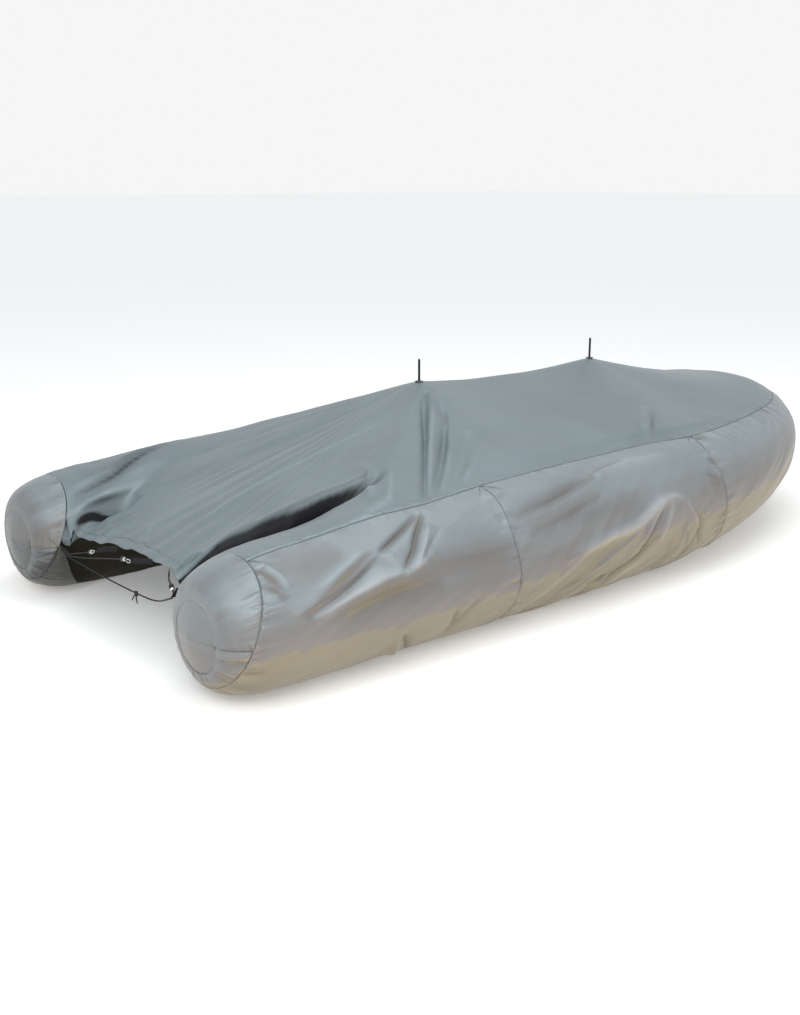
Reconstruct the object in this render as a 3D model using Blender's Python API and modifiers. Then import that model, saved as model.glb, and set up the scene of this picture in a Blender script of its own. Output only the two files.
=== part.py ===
"""Boat cover with support poles: a sewn cloth shell over an inflatable boat, held up by two poles.

+X is the bow, +Y is port and +Z is up. Sizes are in metres. The boat itself is left out.
"""

import math

import bmesh
import bpy
import mathutils
import numpy as np

# Plan of the boat's U-shaped tube, which the cloth follows.
HALF_SPACING = 0.608  # middle of the boat to the axis of a side tube
TUBE_RADIUS = 0.235
BOW_RADIUS = 0.189
BOW_START = 1.917  # where the axis starts to turn in
BOW_AXIS = 3.169  # the axis at the bow
BOW_POWER = 0.971
RISE = 0.147  # the axis lifts towards the bow
RISE_START = 1.521
RISE_POWER = 2.315
BOW_FLATTEN = 0.16  # the top half of the tube is this much lower at the bow
# The tubes slope down to the stern: how high their top half is there, by distance.
STERN_TOP = (
    (0.00, 1.000),
    (0.07, 0.900),
    (0.13, 0.840),
    (0.22, 0.800),
    (0.30, 0.810),
    (0.40, 0.850),
    (0.50, 0.900),
    (0.62, 0.945),
    (0.85, 0.965),
    (1.05, 1.000),
)

# Tapered tube ends.
TAPER_LENGTH = 0.300
NOSE_RADIUS = 0.107
NOSE_DROP = 0.035
NOSE_BULGE = 0.024
CAP_SEAM_Z = 0.200
CAP_SEAM_GAP = 0.0004
CAP_RING_GAP = 0.0007

# Support poles.
AFT_POLE_X = 1.334
FWD_POLE_X = 2.277
AFT_PEAK = 0.695  # height of the cloth at the pole
FWD_PEAK = 0.696
RIDGE_SAG = 0.022  # how far the ridge hangs down between the poles
ROD_RADIUS = 0.0045
ROD_TOP = 0.083  # height of the rod over the cloth
FLOOR_Z = 0.110  # inside floor of the boat, on which the poles stand

# Cloth.
SHEET = 0.0022
SEAM_GAP = 0.0008
MIDDLE_X = 1.6665  # moved to x = 0 in the finished part

# Deck seam: distance along the axis, and the angle up the tube from its outer side.
DECK_SEAM = (
    (0.14, 78.0),
    (0.50, 78.0),
    (0.78, 77.0),
    (1.05, 82.5),
    (1.40, 89.0),
    (1.75, 93.5),
    (2.00, 92.0),
    (2.17, 87.0),
    (2.50, 84.0),
    (2.75, 76.0),
    (3.00, 63.0),
    (3.43, 45.0),
)

# Free edge of the skirt: distance along the axis, and the angle round the tube.
SKIRT_EDGE = (
    (0.05, -190.0),
    (0.08, -170.0),
    (0.11, -145.0),
    (0.15, -124.0),
    (0.22, -113.0),
    (0.40, -107.0),
    (3.43, -107.0),
)

# Edge of the transom flap: across the boat, and height.
FLAP_EDGE = (
    (-0.490, 0.300),
    (-0.400, 0.292),
    (-0.370, 0.300),
    (-0.240, 0.299),
    (-0.060, 0.296),
    (0.102, 0.284),
    (0.200, 0.264),
    (0.326, 0.250),
    (0.490, 0.262),
)
FLAP_EDGE_X = 0.100
FLAP_HALF_WIDTH = 0.405
LOWER_EASE = 0.012  # rounds the crease between the flap and the cloth that goes to the tubes
FAN_SHARE = 0.66  # of the half width, aft, whose grid lines run to the aft pole

# Ridges of the flap, which fan out from the aft pole: direction, height at the edge, width.
FAN = (
    (0.245, 0.014, 0.020),
    (0.170, 0.018, 0.024),
    (0.090, 0.012, 0.018),
    (0.020, 0.020, 0.026),
    (-0.065, 0.014, 0.020),
    (-0.140, 0.020, 0.026),
    (-0.225, 0.016, 0.022),
    (-0.290, 0.016, 0.034),
)

# Valleys of the slack cloth between the flap and the tubes: start and end x and y, height, width.
VALLEYS = (
    (0.72, -0.448, 0.58, -0.440, -0.045, 0.042),
    (0.58, -0.440, 0.36, -0.405, -0.055, 0.046),
    (0.36, -0.405, 0.10, -0.382, -0.050, 0.042),
    (0.42, 0.420, 0.12, 0.400, -0.034, 0.038),
)

# Folds of the deck: start x and y, end x and y, height, width.
DECK_FOLDS = (
    (1.30, -0.090, 0.80, -0.640, -0.014, 0.026),
    (1.31, -0.130, 0.88, -0.620, 0.010, 0.026),
    (1.31, -0.220, 0.96, -0.600, -0.008, 0.030),
    (0.66, 0.560, 0.12, 0.480, -0.016, 0.030),
    (2.15, -0.400, 1.97, -0.590, 0.006, 0.026),
)

# Folds of the skirt: start distance and angle, end distance and angle, height, width.
SKIRT_FOLDS = (
    (0.56, 44.0, 0.24, 8.0, 0.012, 0.045),
    (0.75, 62.0, 0.58, 30.0, -0.012, 0.035),
    (0.80, 60.0, 0.64, 18.0, 0.014, 0.035),
    (0.30, -2.0, 0.62, 20.0, 0.014, 0.035),
    (1.32, 60.0, 1.12, 10.0, -0.014, 0.045),
    (1.60, 30.0, 1.26, -8.0, 0.014, 0.045),
    (1.55, 0.0, 1.10, -30.0, -0.010, 0.035),
    (1.88, 30.0, 1.66, -20.0, 0.016, 0.035),
    (1.96, 20.0, 1.98, -20.0, -0.010, 0.035),
    (2.50, 40.0, 2.30, -30.0, 0.008, 0.040),
)


for old in list(bpy.data.objects):
    bpy.data.objects.remove(old, do_unlink=True)

cover = bpy.data.collections.new("boat_cover")
bpy.context.scene.collection.children.link(cover)
cutters = bpy.data.collections.new("cutters")
cutters.hide_render = True
bpy.context.scene.collection.children.link(cutters)


def material(name, colour, metallic=0.0, roughness=0.5):
    made = bpy.data.materials.new(name)
    made.use_nodes = True
    shader = made.node_tree.nodes["Principled BSDF"]
    shader.inputs["Base Color"].default_value = (*colour, 1.0)
    shader.inputs["Metallic"].default_value = metallic
    shader.inputs["Roughness"].default_value = roughness
    return made


def add_object(name, mesh, look, place=cover):
    made = bpy.data.objects.new(name, mesh)
    mesh.materials.append(look)
    place.objects.link(made)
    return made


def add_modifier(obj, kind, name, **settings):
    made = obj.modifiers.new(name, kind)
    for key, value in settings.items():
        setattr(made, key, value)
    return made


def from_table(table, value):
    rows = np.array(table)
    return np.interp(value, rows[:, 0], rows[:, 1])


def axis_table(count=1600):
    """The axis of the tube as columns by distance: straight from the stern, then a quarter turn."""
    straight = np.linspace(0.0, BOW_START, count // 2, endpoint=False)
    turn = np.linspace(0.0, math.pi / 2, count - count // 2)
    x = np.concatenate([straight, BOW_START + (BOW_AXIS - BOW_START) * np.sin(turn)])
    y = np.concatenate(
        [np.full_like(straight, HALF_SPACING), HALF_SPACING * np.cos(turn) ** BOW_POWER]
    )
    lift = np.clip((x - RISE_START) / (BOW_AXIS - RISE_START), 0.0, 1.0)
    bend = np.clip((x - BOW_START) / (BOW_AXIS - BOW_START), 0.0, 1.0)
    taper = np.clip(1.0 - x / TAPER_LENGTH, 0.0, 1.0)
    z = TUBE_RADIUS + RISE * lift**RISE_POWER - NOSE_DROP * taper**1.5
    dome = NOSE_RADIUS + (TUBE_RADIUS - NOSE_RADIUS) * np.sqrt(1.0 - taper**2.4)
    radius = np.where(x < TAPER_LENGTH, dome, TUBE_RADIUS + (BOW_RADIUS - TUBE_RADIUS) * bend)
    z = np.maximum(z, radius)
    run = np.concatenate([[0.0], np.cumsum(np.hypot(np.diff(x), np.diff(y)))])
    even = np.linspace(0.0, run[-1], count)
    x, y, z, radius, bend = (np.interp(even, run, row) for row in (x, y, z, radius, bend))
    along = np.gradient(x)
    across = np.gradient(y)
    size = np.hypot(along, across)
    return {
        "run": even,
        "x": x,
        "y": y,
        "z": z,
        "radius": radius,
        "top": from_table(STERN_TOP, x) * (1.0 - BOW_FLATTEN * bend),
        "tangent_x": along / size,
        "tangent_y": across / size,
    }


AXIS = axis_table()
LENGTH = float(AXIS["run"][-1])


def on_axis(column, distance):
    return np.interp(distance, AXIS["run"], AXIS[column])


def seam_angle(distance):
    return np.radians(from_table(DECK_SEAM, distance))


def edge_angle(distance):
    return np.radians(from_table(SKIRT_EDGE, distance))


def ring_distance(angle):
    """The seam of a tube-end cap leans: its distance from the stern, by the angle up the tube."""
    rise = np.sin(angle)
    return 0.068 + 0.066 * rise + 0.012 * rise**2


def fold_height(first, second, folds):
    """The sum of soft ridges and troughs, each along a straight line of a table."""
    total = np.zeros_like(first)
    for start_1, start_2, end_1, end_2, height, width in folds:
        run_1 = end_1 - start_1
        run_2 = end_2 - start_2
        part = ((first - start_1) * run_1 + (second - start_2) * run_2) / (run_1**2 + run_2**2)
        part = np.clip(part, 0.0, 1.0)
        away = np.hypot(first - start_1 - part * run_1, second - start_2 - part * run_2)
        total += height * np.exp(-((away / width) ** 2))
    return total


def tube_point(distance, angle, fullness=0.0):
    """A point on the skirt's surface. Distances past the bow come back down the port side."""
    port = distance > LENGTH
    near = np.where(port, 2.0 * LENGTH - distance, distance)
    radius = on_axis("radius", near) + fullness
    upper = np.where(np.sin(angle) > 0.0, on_axis("top", near), 1.0)
    out = radius * np.cos(angle)
    x = on_axis("x", near) - out * on_axis("tangent_y", near)
    y = on_axis("y", near) + out * on_axis("tangent_x", near)
    z = on_axis("z", near) + radius * np.sin(angle) * upper
    return np.stack([x, np.where(port, y, -y), z], axis=-1)


def skirt_point(distance, angle):
    """The skirt with its folds, which fade out towards the deck seam."""
    near = np.where(distance > LENGTH, 2.0 * LENGTH - distance, distance)
    fade = np.clip((seam_angle(near) - angle) / 0.25, 0.0, 1.0)
    lines = [
        (a, math.radians(b) * TUBE_RADIUS, c, math.radians(d) * TUBE_RADIUS, e, f)
        for a, b, c, d, e, f in SKIRT_FOLDS
    ]
    return tube_point(distance, angle, fade * fold_height(near, angle * TUBE_RADIUS, lines))


def tube_top(x, y):
    """Height of the tube's upper surface over a point of the plan."""
    side = np.abs(y)
    away = np.hypot(
        x[..., None] - AXIS["x"][::8], side[..., None] - AXIS["y"][::8]
    )
    nearest = away.argmin(axis=-1)
    distance = AXIS["run"][::8][nearest]
    distance = np.where(x < BOW_START, x, distance)
    away = np.where(x < BOW_START, np.abs(side - HALF_SPACING), away.min(axis=-1))
    radius = on_axis("radius", distance)
    part = away / radius
    round_top = radius * np.sqrt(np.clip(1.0 - part**2, 0.0, 1.0)) * on_axis("top", distance)
    return on_axis("z", distance) + round_top - 2.0 * np.clip(away - radius, 0.0, 1.0)


def ridge_height(x):
    part = np.clip((x - AFT_POLE_X) / (FWD_POLE_X - AFT_POLE_X), 0.0, 1.0)
    return AFT_PEAK + (FWD_PEAK - AFT_PEAK) * part - RIDGE_SAG * 4.0 * part * (1.0 - part)


def fan_strength(part):
    """The flap's ridges start at the pole, are highest past the middle and sink to the edge."""
    return np.clip(part, 0.0, 1.0) ** 1.2 * (1.0 - 0.55 * np.clip(part, 0.0, 1.0) ** 4)


def tent_height(x, y):
    """The cloth stretched between the two pole tops, the tubes and the flap's edge."""
    side = np.sqrt(y**2 + 0.012**2) - 0.012
    station = np.clip(x, 0.0, BOW_START)
    tube_z = on_axis("z", station) + TUBE_RADIUS
    middle = ridge_height(x) - (ridge_height(x) - tube_z) * side / HALF_SPACING

    # Aft of the aft pole, straight lines run from its top to the flap's edge or to the tubes,
    # and the cloth lies on the lower of the two.
    behind = np.clip(AFT_POLE_X - x, 0.001, None)
    reach = AFT_POLE_X - FLAP_EDGE_X
    direction = y / behind
    landing = AFT_POLE_X - behind * HALF_SPACING / np.maximum(side, 0.01)
    landing = np.clip(landing, FLAP_EDGE_X, AFT_POLE_X)
    tube_z = on_axis("z", landing) + on_axis("radius", landing) * on_axis("top", landing)
    to_tube = AFT_PEAK - (AFT_PEAK - tube_z) * side / HALF_SPACING
    edge_z = from_table(FLAP_EDGE, direction * reach)
    to_edge = AFT_PEAK - (AFT_PEAK - edge_z) * behind / reach
    fan = np.zeros_like(x)
    for ridge, height, width in FAN:
        fan += height * np.exp(-(((direction - ridge) / width) ** 2))
    to_edge += (fan - 0.005) * fan_strength(behind / reach)
    aft = 0.5 * (to_tube + to_edge - np.sqrt((to_tube - to_edge) ** 2 + LOWER_EASE**2))
    aft += 0.5 * LOWER_EASE * np.exp(-behind / 0.1)
    aft += np.minimum.reduce([fold_height(x, y, [valley]) for valley in VALLEYS])

    # Forward of the other pole, straight lines run from its top to the bow.
    ahead = np.clip(x - FWD_POLE_X, 0.0, None)
    turn = np.arctan2(AXIS["y"], AXIS["x"] - FWD_POLE_X)
    ahead_rows = AXIS["x"] >= FWD_POLE_X
    order = np.argsort(turn[ahead_rows])
    turn = turn[ahead_rows][order]
    far = np.hypot(AXIS["y"], AXIS["x"] - FWD_POLE_X)[ahead_rows][order]
    high = (AXIS["z"] + AXIS["radius"] * AXIS["top"])[ahead_rows][order]
    heading = np.arctan2(np.abs(y), ahead + 1e-9)
    part = np.hypot(y, ahead) / np.interp(heading, turn, far)
    front = FWD_PEAK + (np.interp(heading, turn, high) - FWD_PEAK) * part
    front -= 0.016 * 4.0 * np.clip(part * (1.0 - part), 0.0, None)
    return np.where(x < AFT_POLE_X, aft, np.where(x > FWD_POLE_X, front, middle))


def deck_height(x, y, rim):
    """The top panel. rim is 0 on the deck seam and 1 away from it."""
    tube = tube_top(x, y)
    tent = tent_height(x, y)
    both = 0.5 * (tube + tent + np.sqrt((tube - tent) ** 2 + 0.014**2))
    return tube + (both - tube + fold_height(x, y, DECK_FOLDS)) * rim


def add_sheet(name, points, look, flip=False, thickness=SHEET, mirrored_cuts=False):
    """A cloth panel: a grid of points, outer face up, made into a sheet by Solidify.

    mirrored_cuts splits each square so that its diagonal runs forward and inward on both sides.
    """
    rows, columns = points.shape[:2]
    index = np.arange(rows * columns).reshape(rows, columns)
    faces = np.stack(
        [index[:-1, :-1], index[1:, :-1], index[1:, 1:], index[:-1, 1:]], axis=-1
    ).reshape(-1, 4)
    if flip:
        faces = faces[:, ::-1]
    if mirrored_cuts:
        starboard = (np.arange(len(faces)) % (columns - 1)) < (columns - 1) // 2
        a, b, c, d = faces.T
        first = np.where(starboard[:, None], np.stack([a, b, c], -1), np.stack([a, b, d], -1))
        second = np.where(starboard[:, None], np.stack([a, c, d], -1), np.stack([b, c, d], -1))
        faces = np.concatenate([first, second])
    moved = points.reshape(-1, 3) - np.array([MIDDLE_X, 0.0, 0.0])
    mesh = bpy.data.meshes.new(name)
    mesh.from_pydata(moved.tolist(), [], faces.tolist())
    work = bmesh.new()
    work.from_mesh(mesh)
    bmesh.ops.remove_doubles(work, verts=work.verts, dist=0.0001)
    work.to_mesh(mesh)
    work.free()
    mesh.shade_smooth()
    made = add_object(name, mesh, look)
    add_modifier(made, "SOLIDIFY", "cloth", thickness=thickness, offset=-1.0)
    return made


def spread(low, high, steps, edge=0.0):
    """Even steps from low to high. With edge, a narrow step at each end keeps a seam true."""
    inner = np.linspace(low, high, steps + 1)
    if not edge:
        return inner
    return np.concatenate([inner[:1], [low + edge], inner[1:-1], [high - edge], inner[-1:]])


silver = material("silver_cloth", (0.48, 0.53, 0.54), 0.35, 0.42)
grey = material("grey_cloth", (0.36, 0.42, 0.44), 0.30, 0.48)
black = material("black_plastic", (0.02, 0.02, 0.022), 0.0, 0.4)
webbing = material("black_webbing", (0.025, 0.025, 0.027), 0.0, 0.8)
steel = material("plated_steel", (0.72, 0.72, 0.70), 0.9, 0.3)

# Skirt panels. Rows run along the tube and columns go up it, from the free edge to the seam.
AFT_STEPS = 15
FWD_STEPS = 15
BOW_STEPS = 30
UP = spread(0.0, 1.0, 12, 0.012)
MID_SEAM = 1.045
BOW_SEAM = 2.150


def panel_grid(first, last, rows):
    """A panel between two borders, each a distance along the tube or a function of the angle."""
    grid = np.empty((len(rows), len(UP), 3))
    seam = np.empty(len(rows))
    angles = np.empty((len(rows), len(UP)))
    for i, part in enumerate(rows):
        angle = np.zeros_like(UP)
        distance = np.full_like(UP, 0.1)
        for _ in range(12):
            near = np.where(distance > LENGTH, 2.0 * LENGTH - distance, distance)
            top = seam_angle(near) - SEAM_GAP / on_axis("radius", near)
            low = edge_angle(near)
            angle = low + (top - low) * UP
            start = first(angle)
            distance = start + (last(angle) - start) * part
        grid[i] = skirt_point(distance, angle)
        seam[i] = distance[-1]
        angles[i] = angle
    return grid, seam, angles


def aft_border(angle):
    return ring_distance(angle) + SEAM_GAP


def mid_border(angle):
    return MID_SEAM - 0.020 * np.exp(-(((angle - 0.45) / 0.45) ** 2))


def bow_border(angle):
    lean = np.where(angle > 0.44, (angle - 0.44) / 1.05, (angle - 0.44) / 2.2)
    return BOW_SEAM - 0.035 + 0.055 * lean**2


near_cap = [0.0, 0.002, 0.007, 0.018, 0.038, 0.065]
aft_rows = np.concatenate([near_cap, np.linspace(0.1, 1.0, AFT_STEPS - 3)])
fwd_rows = np.append(np.linspace(0.0, 1.0, FWD_STEPS + 1), 0.988)
fwd_rows.sort()
bow_rows = spread(0.0, 1.0, BOW_STEPS, 0.012)
aft_panel, aft_seam, aft_angles = panel_grid(
    aft_border,
    lambda angle: mid_border(angle) - SEAM_GAP / 2,
    aft_rows,
)
fwd_panel, fwd_seam, _ = panel_grid(
    lambda angle: mid_border(angle) + SEAM_GAP / 2,
    lambda angle: bow_border(angle) - SEAM_GAP / 2,
    fwd_rows,
)
bow_panel, bow_seam, _ = panel_grid(
    lambda angle: bow_border(angle) + SEAM_GAP / 2,
    lambda angle: 2.0 * LENGTH - bow_border(angle) - SEAM_GAP / 2,
    bow_rows,
)
TO_PORT = np.array([1.0, -1.0, 1.0])
add_sheet("side_aft_starboard", aft_panel, silver)
add_sheet("side_fwd_starboard", fwd_panel, silver)
add_sheet("side_aft_port", aft_panel * TO_PORT, silver, flip=True)
add_sheet("side_fwd_port", fwd_panel * TO_PORT, silver, flip=True)
add_sheet("bow_panel", bow_panel, silver)


# The deck. Its rows start on the points of the skirt panels' seam, and its last row is the bow's.
RING_ANGLES = np.radians([80.5, 92.0, 104.0, 117.0, 131.0, 144.0, 156.0])
FLAP_STEPS = len(bow_rows) - 2 * len(RING_ANGLES) - 3


def plan_on_seam(distance):
    near = np.where(distance > LENGTH, 2.0 * LENGTH - distance, distance)
    return tube_point(distance, seam_angle(near))


def aft_edge():
    """The deck's stern edge: over one tube on the cap's ring, along the flap, over the other."""
    ring = tube_point(ring_distance(RING_ANGLES) + SEAM_GAP, RING_ANGLES)[:, :2]
    corner = plan_on_seam(aft_seam[:1])[:, :2]
    across = np.linspace(-FLAP_HALF_WIDTH, FLAP_HALF_WIDTH, FLAP_STEPS + 1)
    flap = np.stack([np.full_like(across, FLAP_EDGE_X), across], axis=-1)
    half = np.concatenate([corner, ring])
    return np.concatenate([half, flap, half[::-1] * [1.0, -1.0]])


def gather_columns(x, y):
    """Moves grid lines so that they run with the folds, which fan out from the aft pole."""
    half = np.abs(y[:, :1])
    part = np.abs(y) / half
    behind = np.clip((AFT_POLE_X - x) / (AFT_POLE_X - FLAP_EDGE_X), 0.0, 1.0)
    ahead = np.clip((x - AFT_POLE_X) / 0.8, 0.0, 1.0)
    squeeze = 0.22 + 0.78 * np.maximum(behind, ahead * ahead * (3.0 - 2.0 * ahead))
    inner = FAN_SHARE * squeeze
    moved = np.where(
        part < FAN_SHARE,
        part * squeeze,
        inner + (part - FAN_SHARE) * (1.0 - inner) / (1.0 - FAN_SHARE),
    )
    return np.sign(y) * moved * half


def deck_grid():
    stations = np.concatenate([aft_seam[:-1], fwd_seam])
    starboard = plan_on_seam(stations)[:, :2]
    port = starboard * [1.0, -1.0]
    stern = aft_edge()
    bow = plan_on_seam(bow_seam)[:, :2]
    u = ((stations - stations[0]) / (stations[-1] - stations[0]))[:, None, None]
    v = bow_rows[None, :, None]
    bow[0] = starboard[-1]
    bow[-1] = port[-1]
    plan = (1 - u) * stern[None] + u * bow[None] + (1 - v) * starboard[:, None]
    plan = plan + v * port[:, None] - (1 - u) * (1 - v) * stern[0] - (1 - u) * v * stern[-1]
    plan = plan - u * (1 - v) * bow[0] - u * v * bow[-1]
    plan[..., 1] = gather_columns(plan[..., 0], plan[..., 1])
    middle = len(bow) // 2
    for pole_x in (AFT_POLE_X, FWD_POLE_X):
        row = np.abs(plan[:, middle, 0] - pole_x).argmin()
        move = pole_x - plan[row, middle, 0]
        away = np.hypot(plan[..., 0] - pole_x + move, plan[..., 1])
        plan[..., 0] += move * np.exp(-((away / 0.12) ** 2))
    dense = plan_on_seam(np.linspace(stations[0], 2 * LENGTH - stations[0], 500))[:, :2]
    gap = np.hypot(*(plan[:, :, None] - dense).transpose(3, 0, 1, 2)).min(axis=-1)
    rim = np.clip(gap / 0.07, 0.0, 1.0)
    rim = rim * rim * (3.0 - 2.0 * rim)
    height = deck_height(plan[..., 0], plan[..., 1], rim)
    edge = np.zeros(plan.shape[:2], bool)
    edge[:, [0, -1]] = True
    edge[-1] = True
    on_seam = np.empty(plan.shape[:2])
    on_seam[:, 0] = plan_on_seam(stations)[:, 2]
    on_seam[:, -1] = on_seam[:, 0]
    on_seam[-1] = plan_on_seam(bow_seam)[:, 2]
    height = np.where(edge, on_seam, height)
    return np.concatenate([plan, height[..., None]], axis=-1)


deck = add_sheet("deck", deck_grid(), grey, mirrored_cuts=True)


# Tube-end caps. Columns run over the tube, and rows from the ring seam to the middle of the nose.
# Their columns end on the same points of the ring seam as the panels beside them.
LEVEL_DISTANCE = float(ring_distance(math.radians(-3.5)))
LEVEL = (CAP_SEAM_Z - on_axis("z", LEVEL_DISTANCE)) / on_axis("radius", LEVEL_DISTANCE)
LEVEL = float(np.arcsin(LEVEL))
ON_RING = np.concatenate([aft_angles[0], RING_ANGLES, [math.radians(170.0)]])


def cap_columns(upper):
    turned = np.where(ON_RING < -math.pi - LEVEL, ON_RING + 2 * math.pi, ON_RING)
    sweep = math.pi - 2.0 * LEVEL if upper else -math.pi - 2.0 * LEVEL
    share = (turned - LEVEL) / sweep
    share = np.sort(share[(share > 0.04) & (share < 0.96)])
    keep = np.append(True, np.diff(share) > 0.008)
    return np.concatenate([[0.0, 0.02], share[keep], [0.98, 1.0]])


def cap_grid(upper):
    rows = np.concatenate([[0.0, 0.04], np.linspace(0.0, 1.0, 6)[1:]])
    columns = cap_columns(upper)
    grid = []
    for part in rows:
        distance = np.full_like(columns, 0.05)
        for _ in range(12):
            level = (CAP_SEAM_Z - on_axis("z", distance)) / on_axis("radius", distance)
            level = np.arcsin(np.clip(level, -1.0, 1.0))
            sweep = math.pi - 2.0 * level if upper else -math.pi - 2.0 * level
            angle = level + sweep * columns
            distance = (ring_distance(angle) - CAP_RING_GAP) * (1.0 - part)
        grid.append(tube_point(distance, angle))
    for part in (0.80, 0.55, 0.28, 0.0):
        angle = math.pi * columns * (1.0 if upper else -1.0)
        x = np.full_like(columns, -NOSE_BULGE * (1.0 - part**2))
        y = -HALF_SPACING - NOSE_RADIUS * part * np.cos(angle)
        z = CAP_SEAM_Z + NOSE_RADIUS * part * np.sin(angle)
        grid.append(np.stack([x, y, z], axis=-1))
    return np.array(grid) + [0.0, 0.0, CAP_SEAM_GAP if upper else -CAP_SEAM_GAP]


cap_upper = cap_grid(True)
cap_lower = cap_grid(False)
add_sheet("cap_upper_starboard", cap_upper, silver, flip=True)
add_sheet("cap_lower_starboard", cap_lower, silver)
add_sheet("cap_upper_port", cap_upper * TO_PORT, silver)
add_sheet("cap_lower_port", cap_lower * TO_PORT, silver, flip=True)


def add_lathe(name, profile, x, y, look, steps=16, place=cover):
    """A body of revolution about a vertical line, from (radius, height) pairs."""
    mesh = bpy.data.meshes.new(name)
    points = [(radius, 0.0, height) for radius, height in profile]
    edges = [(i, i + 1) for i in range(len(points) - 1)]
    if profile[0][0] > 0.0:
        edges.append((len(points) - 1, 0))
    mesh.from_pydata(points, edges, [])
    made = add_object(name, mesh, look, place)
    made.location = (x - MIDDLE_X, y, 0.0)
    add_modifier(
        made,
        "SCREW",
        "turn",
        steps=steps,
        render_steps=steps,
        use_merge_vertices=True,
        merge_threshold=0.0001,
        use_normal_flip=True,
    )
    return made


# Support poles, which stand on the boat's floor and come out through eyelets in the cloth.
EYELET_RADIUS = 0.0075  # hole in the cloth
GROMMET_BORE = 0.0050
GROMMET_RADIUS = 0.0165
for label, pole_x, peak in (("aft", AFT_POLE_X, AFT_PEAK), ("fwd", FWD_POLE_X, FWD_PEAK)):
    collar = peak - 0.0135
    pole = (
        (0.0, FLOOR_Z),
        (0.035, FLOOR_Z),
        (0.035, FLOOR_Z + 0.008),
        (0.0125, FLOOR_Z + 0.018),
        (0.0125, collar - 0.020),
        (0.018, collar - 0.014),
        (0.018, collar),
        (ROD_RADIUS, collar),
        (ROD_RADIUS, peak + ROD_TOP - 0.003),
        (ROD_RADIUS - 0.0015, peak + ROD_TOP),
        (0.0, peak + ROD_TOP),
    )
    add_lathe("pole_" + label, pole, pole_x, 0.0, black)
    washer = (
        (GROMMET_BORE, peak - 0.0003),
        (GROMMET_RADIUS, peak - 0.0003),
        (GROMMET_RADIUS - 0.002, peak + 0.0016),
        (GROMMET_BORE, peak + 0.0016),
    )
    add_lathe("grommet_" + label, washer, pole_x, 0.0, steel)
    low = peak - 0.05
    high = peak + 0.05
    hole = ((0.0, low), (EYELET_RADIUS, low), (EYELET_RADIUS, high), (0.0, high))
    cutter = add_lathe("eyelet_" + label, hole, pole_x, 0.0, steel, place=cutters)
    cutter.hide_render = True
    cutter.display_type = "WIRE"
    add_modifier(
        deck,
        "BOOLEAN",
        "eyelet_" + label,
        operation="DIFFERENCE",
        solver="EXACT",
        object=cutter,
    )


# Lacing at the stern: webbing tabs on the hem, elastic cords between them, and cord locks.
CORD_RADIUS = 0.0024
LOCK_BORE = 0.0030
LOCK_RADIUS = 0.0080
LOCK_LENGTH = 0.022
TAB_WIDTH = 0.018
TAB_THICKNESS = 0.0016

# Each tab: its middle line from the hem to the free end, and the way its width runs.
TABS = (
    (
        "tab_port",
        ((0.0690, 0.4129, 0.203), (0.0610, 0.3640, 0.201), (0.0600, 0.3180, 0.196)),
        (0, 0, 1),
    ),
    (
        "tab_flap_port",
        ((0.0996, 0.0400, 0.280), (0.0830, 0.0850, 0.272), (0.0700, 0.1240, 0.261)),
        (0, 0, 1),
    ),
    (
        "tab_flap_mid",
        ((0.0996, -0.1900, 0.293), (0.0830, -0.1450, 0.290), (0.0700, -0.1080, 0.283)),
        (0, 0, 1),
    ),
    (
        "tab_flap_starboard",
        ((0.0981, -0.2950, 0.293), (0.0830, -0.3200, 0.292), (0.0700, -0.3380, 0.288)),
        (0, 0, 1),
    ),
    (
        "tab_starboard",
        ((0.0505, -0.4387, 0.288), (0.0470, -0.4250, 0.270), (0.0450, -0.4120, 0.252)),
        (1, 0, 0),
    ),
)

# Each cord: the points of its route, which is drawn tight.
CORDS = (
    (
        "cord_port_short",
        (
            (0.0600, 0.3171, 0.2030),
            (0.0640, 0.2600, 0.2190),
            (0.0690, 0.1830, 0.2400),
            (0.0700, 0.1250, 0.2590),
        ),
    ),
    (
        "cord_port_mid",
        (
            (0.0590, 0.3173, 0.1960),
            (0.0600, 0.2000, 0.2180),
            (0.0690, -0.0440, 0.2730),
            (0.0700, -0.1074, 0.2820),
        ),
    ),
    (
        "cord_port_long",
        (
            (0.0600, 0.3174, 0.1890),
            (0.0640, 0.1000, 0.1830),
            (0.0680, -0.1410, 0.1840),
            (0.0600, -0.2800, 0.2010),
            (0.0400, -0.4108, 0.2501),
        ),
    ),
    (
        "cord_starboard",
        (
            (0.0705, -0.3404, 0.2850),
            (0.0640, -0.3620, 0.2745),
            (0.0570, -0.3855, 0.2640),
            (0.0500, -0.4093, 0.2523),
        ),
    ),
)

# Each lock: its cord, and how far along it.
LOCKS = (
    ("lock_port", "cord_port_short", 0.68),
    ("lock_mid", "cord_port_mid", 0.86),
    ("lock_starboard", "cord_starboard", 0.40),
)


def smooth_route(route, spacing):
    """Even points on a Catmull-Rom curve through the route."""
    knots = np.array(route)
    knots = np.concatenate([[2 * knots[0] - knots[1]], knots, [2 * knots[-1] - knots[-2]]])
    dense = []
    for i in range(1, len(knots) - 2):
        a, b, c, d = knots[i - 1 : i + 3]
        for t in np.linspace(0.0, 1.0, 40, endpoint=i == len(knots) - 3):
            curve = 2 * b + (c - a) * t + (2 * a - 5 * b + 4 * c - d) * t**2
            dense.append(0.5 * (curve + (3 * b - a - 3 * c + d) * t**3))
    dense = np.array(dense)
    run = np.concatenate([[0.0], np.cumsum(np.linalg.norm(np.diff(dense, axis=0), axis=1))])
    even = np.linspace(0.0, run[-1], max(4, round(run[-1] / spacing)) + 1)
    return np.stack([np.interp(even, run, dense[:, k]) for k in range(3)], axis=-1)


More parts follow.
